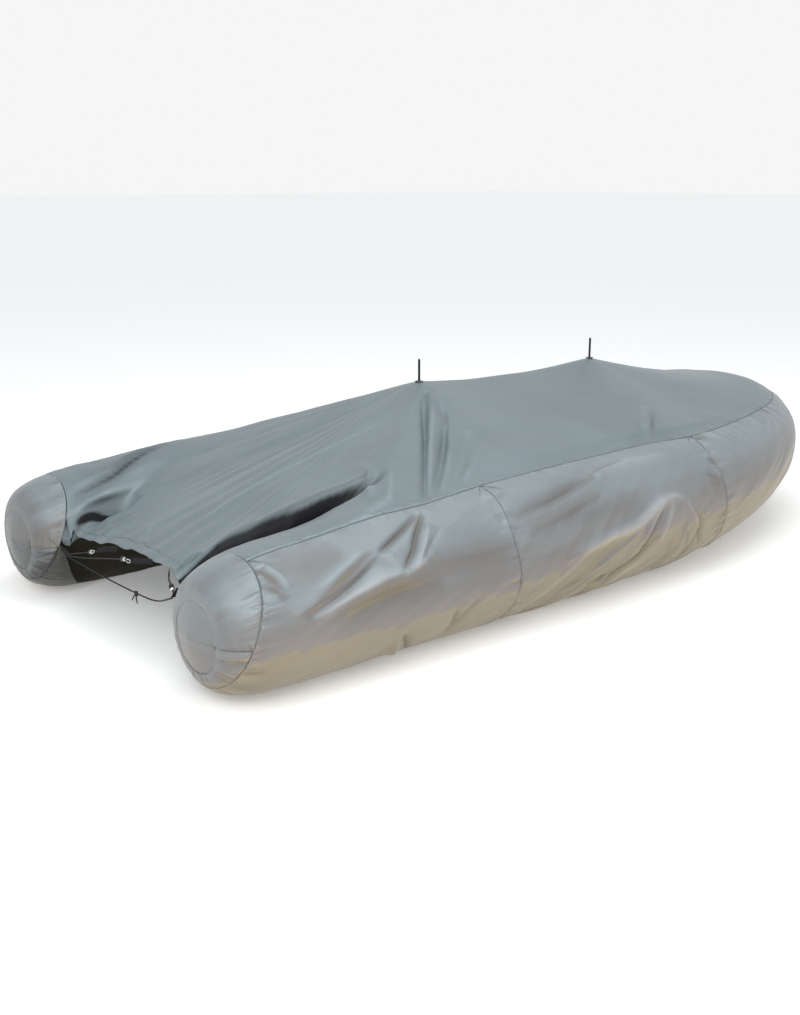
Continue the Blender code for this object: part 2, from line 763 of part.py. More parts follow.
def add_cord(name, points):
    curve = bpy.data.curves.new(name, "CURVE")
    curve.dimensions = "3D"
    curve.bevel_depth = CORD_RADIUS
    curve.bevel_resolution = 2
    curve.use_fill_caps = True
    spline = curve.splines.new("POLY")
    spline.points.add(len(points) - 1)
    for point, place in zip(spline.points, points):
        point.co = (place[0] - MIDDLE_X, place[1], place[2], 1.0)
    return add_object(name, curve, black)


for name, route, width_way in TABS:
    half = np.array(width_way) * TAB_WIDTH / 2
    line = smooth_route(route, 0.014)
    strap = np.stack([line - half, line + half], axis=1)
    add_sheet(name, strap, webbing, thickness=TAB_THICKNESS)

routes = {name: smooth_route(route, 0.015) for name, route in CORDS}
for name, points in routes.items():
    add_cord(name, points)

for name, cord, share in LOCKS:
    points = routes[cord]
    nearest = min(len(points) - 2, round(share * (len(points) - 1)))
    centre = (points[nearest] + points[nearest + 1]) / 2
    way = points[nearest + 1] - points[nearest]
    half = LOCK_LENGTH / 2
    shell = (
        (LOCK_BORE, -half),
        (LOCK_RADIUS - 0.001, -half),
        (LOCK_RADIUS, -half + 0.002),
        (LOCK_RADIUS, half - 0.002),
        (LOCK_RADIUS - 0.001, half),
        (LOCK_BORE, half),
    )
    lock = add_lathe(name, shell, 0.0, 0.0, black, steps=10)
    lock.location = (centre[0] - MIDDLE_X, centre[1], centre[2])
    lock.rotation_mode = "QUATERNION"
    lock.rotation_quaternion = mathutils.Vector(way).to_track_quat("Z", "Y")
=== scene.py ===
"""Looks of the boat cover: panels of silver and grey cloth, seams, lacing and two thin poles.

+X is the bow, +Y is port and +Z is up, in metres, with the middle of the cover at x = 0.
"""

import math

import bpy
import numpy as np
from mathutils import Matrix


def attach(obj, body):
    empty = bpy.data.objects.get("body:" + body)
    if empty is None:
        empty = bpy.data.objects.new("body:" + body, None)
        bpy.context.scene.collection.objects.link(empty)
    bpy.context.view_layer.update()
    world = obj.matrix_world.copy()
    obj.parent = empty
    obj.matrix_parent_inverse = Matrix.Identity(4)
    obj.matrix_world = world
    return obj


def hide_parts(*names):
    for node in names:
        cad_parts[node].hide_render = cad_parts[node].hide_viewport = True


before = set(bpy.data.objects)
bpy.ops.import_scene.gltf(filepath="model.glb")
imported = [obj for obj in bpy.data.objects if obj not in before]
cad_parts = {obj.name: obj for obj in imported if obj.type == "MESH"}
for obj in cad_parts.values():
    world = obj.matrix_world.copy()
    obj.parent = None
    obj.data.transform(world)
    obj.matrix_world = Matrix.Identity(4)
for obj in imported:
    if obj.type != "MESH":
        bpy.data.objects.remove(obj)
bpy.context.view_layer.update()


# ---- Studio ---------------------------------------------------------------------------------
# A plain pale floor, a large soft light over it and a weaker one from the side, and a camera
# that stands off the stern on the starboard side.
STERN_X = -1.6665  # where distance along the tubes starts
CAMERA_PLACE = (-1.553 + STERN_X, -3.356, 1.426)
CAMERA_YAW = 39.785
CAMERA_PITCH = 15.383

camera_data = bpy.data.cameras.new("camera")
camera_data.sensor_fit = "HORIZONTAL"
camera_data.sensor_width = 36.0
camera_data.lens = 54.0
camera_data.clip_end = 400.0
camera = bpy.data.objects.new("camera", camera_data)
camera.location = CAMERA_PLACE
camera.rotation_euler = (math.radians(90.0 - CAMERA_PITCH), 0.0, math.radians(-CAMERA_YAW))
bpy.context.scene.collection.objects.link(camera)
bpy.context.scene.camera = camera
bpy.context.scene.view_settings.view_transform = "Standard"

FLOOR_HALF = 90.0
floor_mesh = bpy.data.meshes.new("floor")
floor_mesh.from_pydata(
    [(FLOOR_HALF * x, FLOOR_HALF * y, 0.0) for x, y in ((-1, -1), (1, -1), (1, 1), (-1, 1))],
    [], [(0, 1, 2, 3)])
floor = bpy.data.objects.new("floor", floor_mesh)
bpy.context.scene.collection.objects.link(floor)
floor_look = bpy.data.materials.new("floor_paper")
floor_look.use_nodes = True
for label, value in (
    ("Base Color", (0.92, 0.915, 0.90, 1.0)), ("Roughness", 0.9),
    ("Emission Color", (1.0, 1.0, 1.0, 1.0)), ("Emission Strength", 0.20),
):
    floor_look.node_tree.nodes["Principled BSDF"].inputs[label].default_value = value
floor_mesh.materials.append(floor_look)

world = bpy.data.worlds.new("sky")
world.use_nodes = True
sky = world.node_tree.nodes["Background"]
sky_way = world.node_tree.nodes.new("ShaderNodeTexCoord")
sky_rise = world.node_tree.nodes.new("ShaderNodeSeparateXYZ")
sky_ramp = world.node_tree.nodes.new("ShaderNodeValToRGB")
horizon, low_sky = sky_ramp.color_ramp.elements
horizon.position = 0.0
low_sky.position = 0.25
horizon.color = low_sky.color = (1.0, 1.0, 1.0, 1.0)
sky_ramp.color_ramp.elements.new(0.95).color = (0.62, 0.68, 0.72, 1.0)
world.node_tree.links.new(sky_way.outputs["Generated"], sky_rise.inputs["Vector"])
world.node_tree.links.new(sky_rise.outputs["Z"], sky_ramp.inputs["Fac"])
world.node_tree.links.new(sky_ramp.outputs["Color"], sky.inputs["Color"])
sky.inputs["Strength"].default_value = 0.92
bpy.context.scene.world = world


def soft_light(name, place, aim, size, watts):
    """A white square light of that size, turned so that it faces the point it is aimed at."""
    lamp = bpy.data.lights.new(name, "AREA")
    lamp.shape = "SQUARE"
    lamp.size = size
    lamp.energy = watts
    made = bpy.data.objects.new(name, lamp)
    made.location = place
    way = [b - a for a, b in zip(place, aim)]
    flat = math.hypot(way[0], way[1])
    made.rotation_euler = (math.atan2(flat, -way[2]), 0.0, math.atan2(-way[0], way[1]))
    bpy.context.scene.collection.objects.link(made)


soft_light("top_light", (0.2, -0.6, 5.0), (-0.2, 0.0, 0.3), 4.0, 110.0)
soft_light("side_light", (2.4, -5.2, 2.4), (0.4, -0.4, 0.3), 2.4, 28.0)
soft_light("high_light", (-3.0, -1.9, 2.4), (-1.7, -0.6, 0.3), 1.8, 34.0)
soft_light("front_light", (-4.6, -4.2, 2.2), (-0.4, -0.4, 0.2), 3.4, 55.0)


# ---- Cords ----------------------------------------------------------------------------------
# Black elastic cords, braided over a rubber core. They run from the webbing tab of one
# tube-end cap to the tabs on the flap and to the other cap, drawn tight with cord locks.
CORD_RADIUS = 0.0024
# Each cord's name, its route as (distance from the stern, side to side, height), and the step
# between the points of its line.
CORDS = (
    ("cord_port_short", ((0.0600, 0.3171, 0.2030), (0.0640, 0.2600, 0.2190),
                         (0.0690, 0.1830, 0.2400), (0.0700, 0.1250, 0.2590)), 0.0105),
    ("cord_port_mid", ((0.0590, 0.3173, 0.1960), (0.0600, 0.2000, 0.2180),
                       (0.0690, -0.0440, 0.2730), (0.0700, -0.1074, 0.2820)), 0.0150),
    ("cord_port_long", ((0.0600, 0.3174, 0.1890), (0.0640, 0.1000, 0.1830),
                        (0.0680, -0.1410, 0.1840), (0.0600, -0.2800, 0.2010),
                        (0.0400, -0.4108, 0.2501)), 0.0200),
    ("cord_starboard", ((0.0705, -0.3404, 0.2850), (0.0640, -0.3620, 0.2745),
                        (0.0570, -0.3855, 0.2640), (0.0500, -0.4093, 0.2523)), 0.0050),
)


def cubic(a, b, c, d, t):
    """The cubic from b at t = 0 to c at t = 1, whose slope at each of them is half the step
    between the points before and after it."""
    curve = 2 * b + (c - a) * t + (2 * a - 5 * b + 4 * c - d) * t**2
    return 0.5 * (curve + (3 * b - a - 3 * c + d) * t**3)


def lengths_along(line):
    """The length along a line of points, from its start to each of them."""
    return np.concatenate([[0.0], np.cumsum(np.linalg.norm(np.diff(line, axis=0), axis=1))])


def between(wanted, run, points):
    """Points at the wanted lengths, on straight lines between points at the lengths in run."""
    return np.stack([np.interp(wanted, run, points[:, k]) for k in range(3)], axis=-1)


def smooth_route(route, spacing, fineness=40):
    """Even points on the curve through the route that is made of such cubics. Before the first
    and after the last point, the route goes on in a straight line."""
    knots = np.array(route)
    knots = np.concatenate([[2 * knots[0] - knots[1]], knots, [2 * knots[-1] - knots[-2]]])
    t = np.linspace(0.0, 1.0, fineness, endpoint=False)[:, None]
    dense = [cubic(*knots[i:i + 4], t) for i in range(len(knots) - 3)]
    dense = np.concatenate(dense + [knots[-2:-1]])
    run = lengths_along(dense)
    even = np.linspace(0.0, run[-1], round(run[-1] / spacing) + 1)
    return between(even, run, dense)


def set_node(node, settings):
    """Sets a node's inputs and properties by name."""
    for key, value in settings.items():
        if key in node.inputs:
            node.inputs[key].default_value = value
        else:
            setattr(node, key, value)


def bump_look(name, colour, roughness, texture, height, distance, metallic=0.0, **settings):
    """A material with a relief texture, which also paints shade into its hollows, down to
    about half the colour. The settings are those of the texture's own inputs and properties."""
    made = bpy.data.materials.new(name)
    made.use_nodes = True
    nodes = made.node_tree.nodes
    links = made.node_tree.links
    shader = nodes["Principled BSDF"]
    shader.inputs["Roughness"].default_value = roughness
    shader.inputs["Metallic"].default_value = metallic
    shader.inputs["Specular IOR Level"].default_value = 0.35
    where = nodes.new("ShaderNodeTexCoord")
    pattern = nodes.new(texture)
    set_node(pattern, settings)
    links.new(where.outputs["Object"], pattern.inputs["Vector"])
    # Painted shade: the low parts of the relief are coloured darker.
    ramp = nodes.new("ShaderNodeValToRGB")
    ramp.color_ramp.elements[0].position = 0.25
    ramp.color_ramp.elements[0].color = (*[0.55 * c for c in colour], 1.0)
    ramp.color_ramp.elements[1].position = 0.75
    ramp.color_ramp.elements[1].color = (*colour, 1.0)
    relief = nodes.new("ShaderNodeBump")
    relief.inputs["Strength"].default_value = height
    relief.inputs["Distance"].default_value = distance
    links.new(pattern.outputs["Fac"], ramp.inputs["Fac"])
    links.new(ramp.outputs["Color"], shader.inputs["Base Color"])
    links.new(pattern.outputs["Fac"], relief.inputs["Height"])
    links.new(relief.outputs["Normal"], shader.inputs["Normal"])
    return made


braid = bump_look(
    "black_braid", (0.012, 0.012, 0.013), 0.62, "ShaderNodeTexWave", 0.7, 0.0006,
    bands_direction="DIAGONAL", Scale=260.0, Distortion=1.5)


def link(obj, look):
    """Gives an object its material and puts it in the scene."""
    obj.data.materials.append(look)
    bpy.context.scene.collection.objects.link(obj)
    return obj


def mesh_object(name, points, faces, look, smooth=True):
    """An object from an array of points, and of faces as lists of point numbers."""
    mesh = bpy.data.meshes.new(name)
    mesh.from_pydata(points.reshape(-1, 3).tolist(), [], faces)
    if smooth:
        mesh.shade_smooth()
    return link(bpy.data.objects.new(name, mesh), look)


cord_lines = {}
for name, route, spacing in CORDS:
    line = smooth_route(route, spacing) + [STERN_X, 0.0, 0.0]
    curve = bpy.data.curves.new(name + "_braid", "CURVE")
    curve.dimensions = "3D"
    curve.bevel_depth = CORD_RADIUS
    curve.bevel_resolution = 4
    curve.use_fill_caps = True
    spline = curve.splines.new("POLY")
    spline.points.add(len(line) - 1)
    weighted = np.pad(line, ((0, 0), (0, 1)), constant_values=1.0)
    spline.points.foreach_set("co", weighted.ravel())
    spline.use_smooth = True
    piece = link(bpy.data.objects.new(name + "_braid", curve), braid)
    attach(piece, "root")
    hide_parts(name)
    cord_lines[name] = line


# ---- Cord locks -----------------------------------------------------------------------------
# Barrel locks of black plastic with a pressed spring button, and a bright plated ferrule at
# the end that the cord's loop comes out of.

# Each lock's name, its cord, and the share of the way along it where the lock sits.
LOCKS = (
    ("lock_port", "cord_port_short", 0.68),
    ("lock_mid", "cord_port_mid", 0.86),
    ("lock_starboard", "cord_starboard", 0.40),
)
LOCK_HALF = 0.011
LOCK_STEP = 0.015  # the step between the points of the line that the locks are set on
BUTTON_BACK = 0.003  # from the barrel's middle to the button's, towards the start of the cord
EDGE_ROUND = 0.0003
# Profiles as (along, radius): along in half lengths of the lock, and in metres for the button.
BARREL = ((-1.00, 0.0030), (-1.00, 0.0058), (-0.94, 0.0068), (-0.70, 0.0078), (-0.45, 0.0080),
          (-0.40, 0.0074), (-0.34, 0.0074), (-0.29, 0.0081), (0.35, 0.0081), (0.52, 0.0076),
          (0.62, 0.0064), (0.62, 0.0030))
FERRULE = ((0.55, 0.0030), (0.55, 0.0060), (0.64, 0.0068), (0.74, 0.0066), (0.88, 0.0052),
           (1.12, 0.0045), (1.22, 0.0040), (1.24, 0.0030))
BUTTON = ((0.0060, 0.0001), (0.0060, 0.0042), (0.0094, 0.0042), (0.0101, 0.0038),
          (0.0105, 0.0026), (0.0106, 0.0001))

plastic = bump_look(
    "moulded_plastic", (0.012, 0.012, 0.013), 0.36, "ShaderNodeTexNoise", 0.25, 0.0003,
    Scale=420.0)
plated = bump_look(
    "plated_metal", (0.82, 0.82, 0.80), 0.24, "ShaderNodeTexNoise", 0.10, 0.0002, metallic=0.9,
    Scale=160.0)


def unit(vectors):
    """Vectors of length 1 with the same directions."""
    return vectors / np.linalg.norm(vectors, axis=-1, keepdims=True)


def lathe(name, profile, start, way, length_scale, look, steps=28):
    """A turned piece: each (along, radius) pair of the profile becomes a ring about the line
    from start along way, and the first and last rings are joined to close it."""
    way = unit(np.array(way))
    side = unit(np.cross(way, [0.0, 0.0, 1.0]))
    up = np.cross(side, way)
    rows = np.array(profile)
    turn = np.linspace(0.0, 2.0 * math.pi, steps, endpoint=False)[None, :, None]
    along = rows[:, 0, None, None] * length_scale
    points = start + way * along + rows[:, 1, None, None] * (
        side * np.cos(turn) + up * np.sin(turn))
    ring = np.arange(len(rows) * steps).reshape(len(rows), steps)
    after = np.roll(ring, -1, axis=0)
    faces = np.stack([ring, np.roll(ring, -1, axis=1), np.roll(after, -1, axis=1), after], -1)
    made = mesh_object(name, points, faces.reshape(-1, 4).tolist(), look)
    bevel = made.modifiers.new("edges", "BEVEL")
    bevel.width = EDGE_ROUND
    bevel.segments = 1
    return made


def at_share(line, share):
    """The point on a line at a share of its points, and the way the line runs there."""
    nearest = min(len(line) - 2, round(share * (len(line) - 1)))
    return (line[nearest] + line[nearest + 1]) / 2, line[nearest + 1] - line[nearest]


routes = {name: route for name, route, _ in CORDS}
on_cord = {name: [] for name in routes}
for name, cord, share in LOCKS:
    coarse = smooth_route(routes[cord], LOCK_STEP) + [STERN_X, 0.0, 0.0]
    centre, way = at_share(coarse, share)
    barrel = lathe(name + "_barrel", BARREL, centre, way, LOCK_HALF, plastic)
    ferrule = lathe(name + "_ferrule", FERRULE, centre, way, LOCK_HALF, plated)
    lifted = np.cross(way, [1.0, 0.0, 0.0])
    lifted = lifted * np.sign(lifted[2])
    button = lathe(
        name + "_button", BUTTON, centre - unit(way) * BUTTON_BACK, lifted, 1.0, plastic)
    for piece in (barrel, ferrule, button):
        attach(piece, "root")
        on_cord[cord].append(piece)
    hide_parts(name)
    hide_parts(name)


# ---- Cord ends ------------------------------------------------------------------------------
# A hitch where the three cords leave the port tab, small bright loops beyond two of the
# locks, and a twist of tape with two loose tails tied on the long cord.
HITCH_SIZE = 0.0078
HITCH_RADIUS = 0.0021
LOOP_HALF_LENGTH = 0.013
LOOP_RADIUS = 0.0013
LOOP_SET_OFF = (-0.0060, 0.0, 0.0)
LOOP_DOWN = (0.0, 0.2, -1.0)
TIE_SIZE = 0.0085
TIE_RADIUS = 0.0022
TIE_SHARE = 0.585  # how far along the long cord the tape is tied
TAIL_POINTS = 14
ASKEW = (0.31, 0.22, 0.92)  # a direction that none of these lines runs in


def tube_along(name, line, radius, look, sides=10):
    """A tube: rings of points square to the line at each of its points, capped at both ends.
    radius is a number or one for each point."""
    way = unit(np.gradient(line, axis=0))
    first = unit(np.cross(way, ASKEW))
    second = np.cross(way, first)
    turn = np.linspace(0.0, 2.0 * math.pi, sides, endpoint=False)[None, :, None]
    size = np.broadcast_to(np.asarray(radius, float), (len(line),))[:, None, None]
    rings = line[:, None] + size * (
        first[:, None] * np.cos(turn) + second[:, None] * np.sin(turn))
    index = np.arange(len(line) * sides).reshape(len(line), sides)
    beside = np.roll(index, -1, axis=1)
    walls = np.stack([index[:-1], beside[:-1], beside[1:], index[1:]], -1).reshape(-1, 4)
    ends = [index[0, ::-1].tolist(), index[-1].tolist()]
    return mesh_object(name, rings, walls.tolist() + ends, look)


def knot_line(centre, size, steps=90):
    """A flattened trefoil about a point, not quite closed: the line of an overhand knot, with
    sin t + 2 sin 2t and cos t - 2 cos 2t across it and a little of sin 3t through it."""
    t = np.linspace(0.1, 2.0 * math.pi - 0.1, steps)
    shape = np.stack([
        0.55 * np.sin(3.0 * t), np.sin(t) + 2.0 * np.sin(2.0 * t),
        np.cos(t) - 2.0 * np.cos(2.0 * t)], axis=-1)
    return centre + size / 3.0 * shape


hitch = tube_along(
    "port_hitch", knot_line(cord_lines["cord_port_mid"][0], HITCH_SIZE), HITCH_RADIUS, braid)
on_cord["cord_port_mid"].append(hitch)
for name, cord, share, width in (("mid_loop", "cord_port_mid", 0.955, 0.0060),
                                 ("port_loop", "cord_port_short", 0.86, 0.0050)):
    # Nine tenths of an ellipse, set off a little from the cord and hanging from it.
    place, way = at_share(cord_lines[cord], share)
    bend = np.linspace(-0.9 * math.pi, 0.9 * math.pi, 26)[:, None]
    line = place + unit(way) * LOOP_HALF_LENGTH * np.cos(bend)
    line = line + LOOP_SET_OFF + np.array(LOOP_DOWN) * width * np.sin(bend)
    on_cord[cord].append(tube_along(name, line, LOOP_RADIUS, plated))
place, way = at_share(cord_lines["cord_port_long"], TIE_SHARE)
tie = tube_along("tape_tie", knot_line(place, TIE_SIZE), TIE_RADIUS, braid)
on_cord["cord_port_long"].append(tie)
for name, reach in (("tape_tail_short", (-0.010, 0.010, -0.024)),
                    ("tape_tail_long", (-0.004, -0.011, -0.030))):
    t = np.linspace(0.0, 1.0, TAIL_POINTS)[:, None]
    line = place + np.array(reach) * t + np.array([0.0, 0.004, 0.0]) * np.sin(math.pi * t)
    on_cord["cord_port_long"].append(
        tube_along(name, line, np.linspace(0.0028, 0.0016, TAIL_POINTS), braid))
for pieces in on_cord.values():
    for piece in pieces:
        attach(piece, "root")


# ---- Tabs, poles and grommets ---------------------------------------------------------------
# Tabs of woven black webbing, sewn to the hem, thin black rods that stand out of the poles,
# and dulled eyelet rings that the rods pass through. These keep the model's own shapes.
webbing = bump_look(
    "black_webbing", (0.010, 0.010, 0.011), 0.80, "ShaderNodeTexWave", 0.8, 0.0008,
    bands_direction="Z", Scale=210.0, Distortion=0.6)
rod = bump_look(
    "lacquered_rod", (0.012, 0.012, 0.014), 0.42, "ShaderNodeTexNoise", 0.12, 0.0003,
    Scale=90.0)
dull_ring = bump_look(
    "dull_ring", (0.110, 0.125, 0.130), 0.50, "ShaderNodeTexNoise", 0.2, 0.0003, metallic=0.6,
    Scale=240.0)
for look, names in (
    (webbing, ("tab_port", "tab_flap_port", "tab_flap_mid", "tab_flap_starboard",
               "tab_starboard")),
    (rod, ("pole_aft", "pole_fwd")),
    (dull_ring, ("grommet_aft", "grommet_fwd")),
):
    for name in names:
        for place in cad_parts[name].material_slots:
            place.material = look


# ---- Side panels ----------------------------------------------------------------------------
# Coated polyester sewn as a sleeve, round in section, with a gathered free edge under it.
# Each side has two panels, with a seam between them a third of the way along.
HALF_SPACING = 0.608  # from the middle of the cover to the middle of a tube
TUBE_RADIUS = 0.235
BOW_RADIUS = 0.189
BOW_START = 1.917  # where the tubes start to turn in, by distance from the stern
BOW_AXIS = 3.169  # where they meet
BOW_POWER = 0.971
RISE = 0.147  # how much higher the tube lies at the bow
RISE_START = 1.521
RISE_POWER = 2.315
BOW_FLATTEN = 0.16
# How high the upper half of the tube is for its width, by distance from the stern.
STERN_TOP = (
    (0.00, 1.000), (0.07, 0.900), (0.13, 0.840), (0.22, 0.800), (0.30, 0.810), (0.40, 0.850),
    (0.50, 0.900), (0.62, 0.945), (0.85, 0.965), (1.05, 1.000),
)
TAPER_LENGTH = 0.300
NOSE_RADIUS = 0.107
NOSE_DROP = 0.035
SEAM_GAP = 0.0003
CLOTH = 0.0016
GROUND = 0.0006  # the lowest that cloth lies
MID_SEAM = 1.045
BOW_SEAM = 2.150
# The borders with the deck and with the free edge: distance, and degrees up the tube.
DECK_SEAM = (
    (0.14, 78.0), (0.50, 78.0), (0.78, 77.0), (1.05, 82.5), (1.40, 89.0), (1.75, 93.5),
    (2.00, 92.0), (2.17, 87.0), (2.50, 84.0), (2.75, 76.0), (3.00, 63.0), (3.43, 45.0),
)
SKIRT_EDGE = (
    (0.05, -190.0), (0.08, -170.0), (0.11, -145.0), (0.15, -124.0), (0.22, -113.0),
    (0.40, -107.0), (3.43, -107.0),
)
# How far up the tube the warm light from the ground reaches: distance, and degrees.
BELLY_EDGE = (
    (0.0, -8.0), (0.19, -13.0), (0.55, -16.5), (1.04, -17.5), (1.42, -8.0),
    (1.97, -2.0), (2.48, -1.0), (2.82, -0.5), (3.43, 0.0),
)


def from_table(table, value):
    """Straight lines between the rows of a table of two columns."""
    rows = np.array(table)
    return np.interp(value, rows[:, 0], rows[:, 1])


def tube_axis(count=1600):
    """The line along the middle of the tube, by distance: straight, then a quarter ellipse. It
    rises to the bow by a power of the distance and drops a little at the nose, where the
    radius is a dome: the root of 1 - taper^2.4."""
    straight = np.linspace(0.0, BOW_START, count // 2, endpoint=False)
    turn = np.linspace(0.0, math.pi / 2, count - count // 2)
    x = np.concatenate([straight, BOW_START + (BOW_AXIS - BOW_START) * np.sin(turn)])
    y = np.concatenate(
        [np.full_like(straight, HALF_SPACING), HALF_SPACING * np.cos(turn) ** BOW_POWER])
    lift = np.clip((x - RISE_START) / (BOW_AXIS - RISE_START), 0.0, 1.0)
    bend = np.clip((x - BOW_START) / (BOW_AXIS - BOW_START), 0.0, 1.0)
    taper = np.clip(1.0 - x / TAPER_LENGTH, 0.0, 1.0)
    z = TUBE_RADIUS + RISE * lift**RISE_POWER - NOSE_DROP * taper**1.5
    dome = NOSE_RADIUS + (TUBE_RADIUS - NOSE_RADIUS) * np.sqrt(1.0 - taper**2.4)
    radius = np.where(x < TAPER_LENGTH, dome, TUBE_RADIUS + (BOW_RADIUS - TUBE_RADIUS) * bend)
    z = np.maximum(z, radius)
    run = np.concatenate([[0.0], np.cumsum(np.hypot(np.diff(x), np.diff(y)))])
    even = np.linspace(0.0, run[-1], count)
    x, y, z, radius, bend = (np.interp(even, run, row) for row in (x, y, z, radius, bend))
    along = np.gradient(x)
    across = np.gradient(y)
    size = np.hypot(along, across)
    return {
        "run": even, "x": x, "y": y, "z": z, "radius": radius,
        "top": from_table(STERN_TOP, x) * (1.0 - BOW_FLATTEN * bend),
        "tangent_x": along / size, "tangent_y": across / size,
    }


AXIS = tube_axis()
LENGTH = float(AXIS["run"][-1])


def on_axis(column, distance):
    """One column of the axis at a distance along it."""
    return np.interp(distance, AXIS["run"], AXIS[column])


def fold_back(distance):
    """Distance from the nearer stern end: past the bow it counts down again."""
    return np.where(distance > LENGTH, 2.0 * LENGTH - distance, distance)


def seam_angle(distance):
    """The deck seam's angle up the tube."""
    return np.radians(from_table(DECK_SEAM, distance))


def edge_angle(distance):
    """The free edge's angle, which is below the axis."""
    return np.radians(from_table(SKIRT_EDGE, distance))


def ring_distance(angle):
    """The ring seam leans: how far from the stern it is, by angle round the tube."""
    rise = np.sin(angle)
    return 0.068 + 0.066 * rise + 0.012 * rise**2


def tube_point(distance, angle, fullness=0.0):
    """Point at an angle round the axis: radius plus fullness, flatter on top towards the bow.
    Distances beyond the bow's middle run back along the port side."""
    port = distance > LENGTH
    near = fold_back(distance)
    radius = on_axis("radius", near) + fullness
    upper = np.where(np.sin(angle) > 0.0, on_axis("top", near), 1.0)
    out = radius * np.cos(angle)
    x = on_axis("x", near) - out * on_axis("tangent_y", near)
    y = on_axis("y", near) + out * on_axis("tangent_x", near)
    z = on_axis("z", near) + radius * np.sin(angle) * upper
    return np.stack([x + STERN_X, np.where(port, y, -y), z], axis=-1)


LATTICE = 64


def noise(first, second, size_1, size_2, seed):
    """Smooth random waves: a lattice of random heights, size_1 by size_2, joined by the curve
    6 t^5 - 15 t^4 + 10 t^3 in both directions."""
    heights = np.random.default_rng(seed).uniform(-1.0, 1.0, (LATTICE, LATTICE))
    i, s = np.divmod(first / size_1, 1.0)
    j, t = np.divmod(second / size_2, 1.0)
    s, t = (k * k * k * (k * (6.0 * k - 15.0) + 10.0) for k in (s, t))
    i = i.astype(int) % LATTICE
    j = j.astype(int) % LATTICE
    after_i = (i + 1) % LATTICE
    after_j = (j + 1) % LATTICE
    low = heights[i, j] * (1 - s) + heights[after_i, j] * s
    high = heights[i, after_j] * (1 - s) + heights[after_i, after_j] * s
    return low * (1 - t) + high * t


FAR_OFF = 9.0  # farther than any place on the cover


def folds(first, second, rows):
    """Ridges and valleys along broken lines. Across a line the height falls off as
    exp(-(distance / width) ** 1.25), with one flank wider by lean. It fades at both ends."""
    total = np.zeros_like(first)
    for points, height, width, lean in rows:
        knots = np.array(points, float)
        steps = np.linalg.norm(np.diff(knots, axis=0), axis=1)
        best = np.full_like(first, FAR_OFF)
        along = np.zeros_like(first)
        flank = np.zeros_like(first)
        for i, step in enumerate(steps):
            way = (knots[i + 1] - knots[i]) / step
            part = (first - knots[i, 0]) * way[0] + (second - knots[i, 1]) * way[1]
            part = np.clip(part, 0.0, step)
            d1 = first - knots[i, 0] - part * way[0]
            d2 = second - knots[i, 1] - part * way[1]
            away = np.hypot(d1, d2)
            closer = away < best
            best = np.where(closer, away, best)
            along = np.where(closer, steps[:i].sum() + part, along)
            flank = np.where(closer, np.sign(way[0] * d2 - way[1] * d1), flank)
        share = along / steps.sum()
        ends = np.clip(4.0 * share * (1.0 - share), 0.0, 1.0) ** 0.6
        total += height * ends * np.exp(-((best / (width * (1.0 + lean * flank))) ** 1.25))
    return total


def puckers(along, away, pitch, height, reach, seed):
    """Gathers that leave a seam at right angles: noise of that pitch along the seam, long away
    from it, nothing on the seam itself and dying out over the reach."""
    waves = noise(along, away, pitch, 3.0 * reach, seed)
    waves = waves + 0.5 * noise(along, away, 0.53 * pitch, 2.0 * reach, seed + 1)
    strength = 0.35 + 0.65 * np.abs(noise(along, away, 6.0 * pitch, 9.0, seed + 2))
    return height * waves * strength * (1.0 - np.exp(-away / 0.006)) * np.exp(-away / reach)


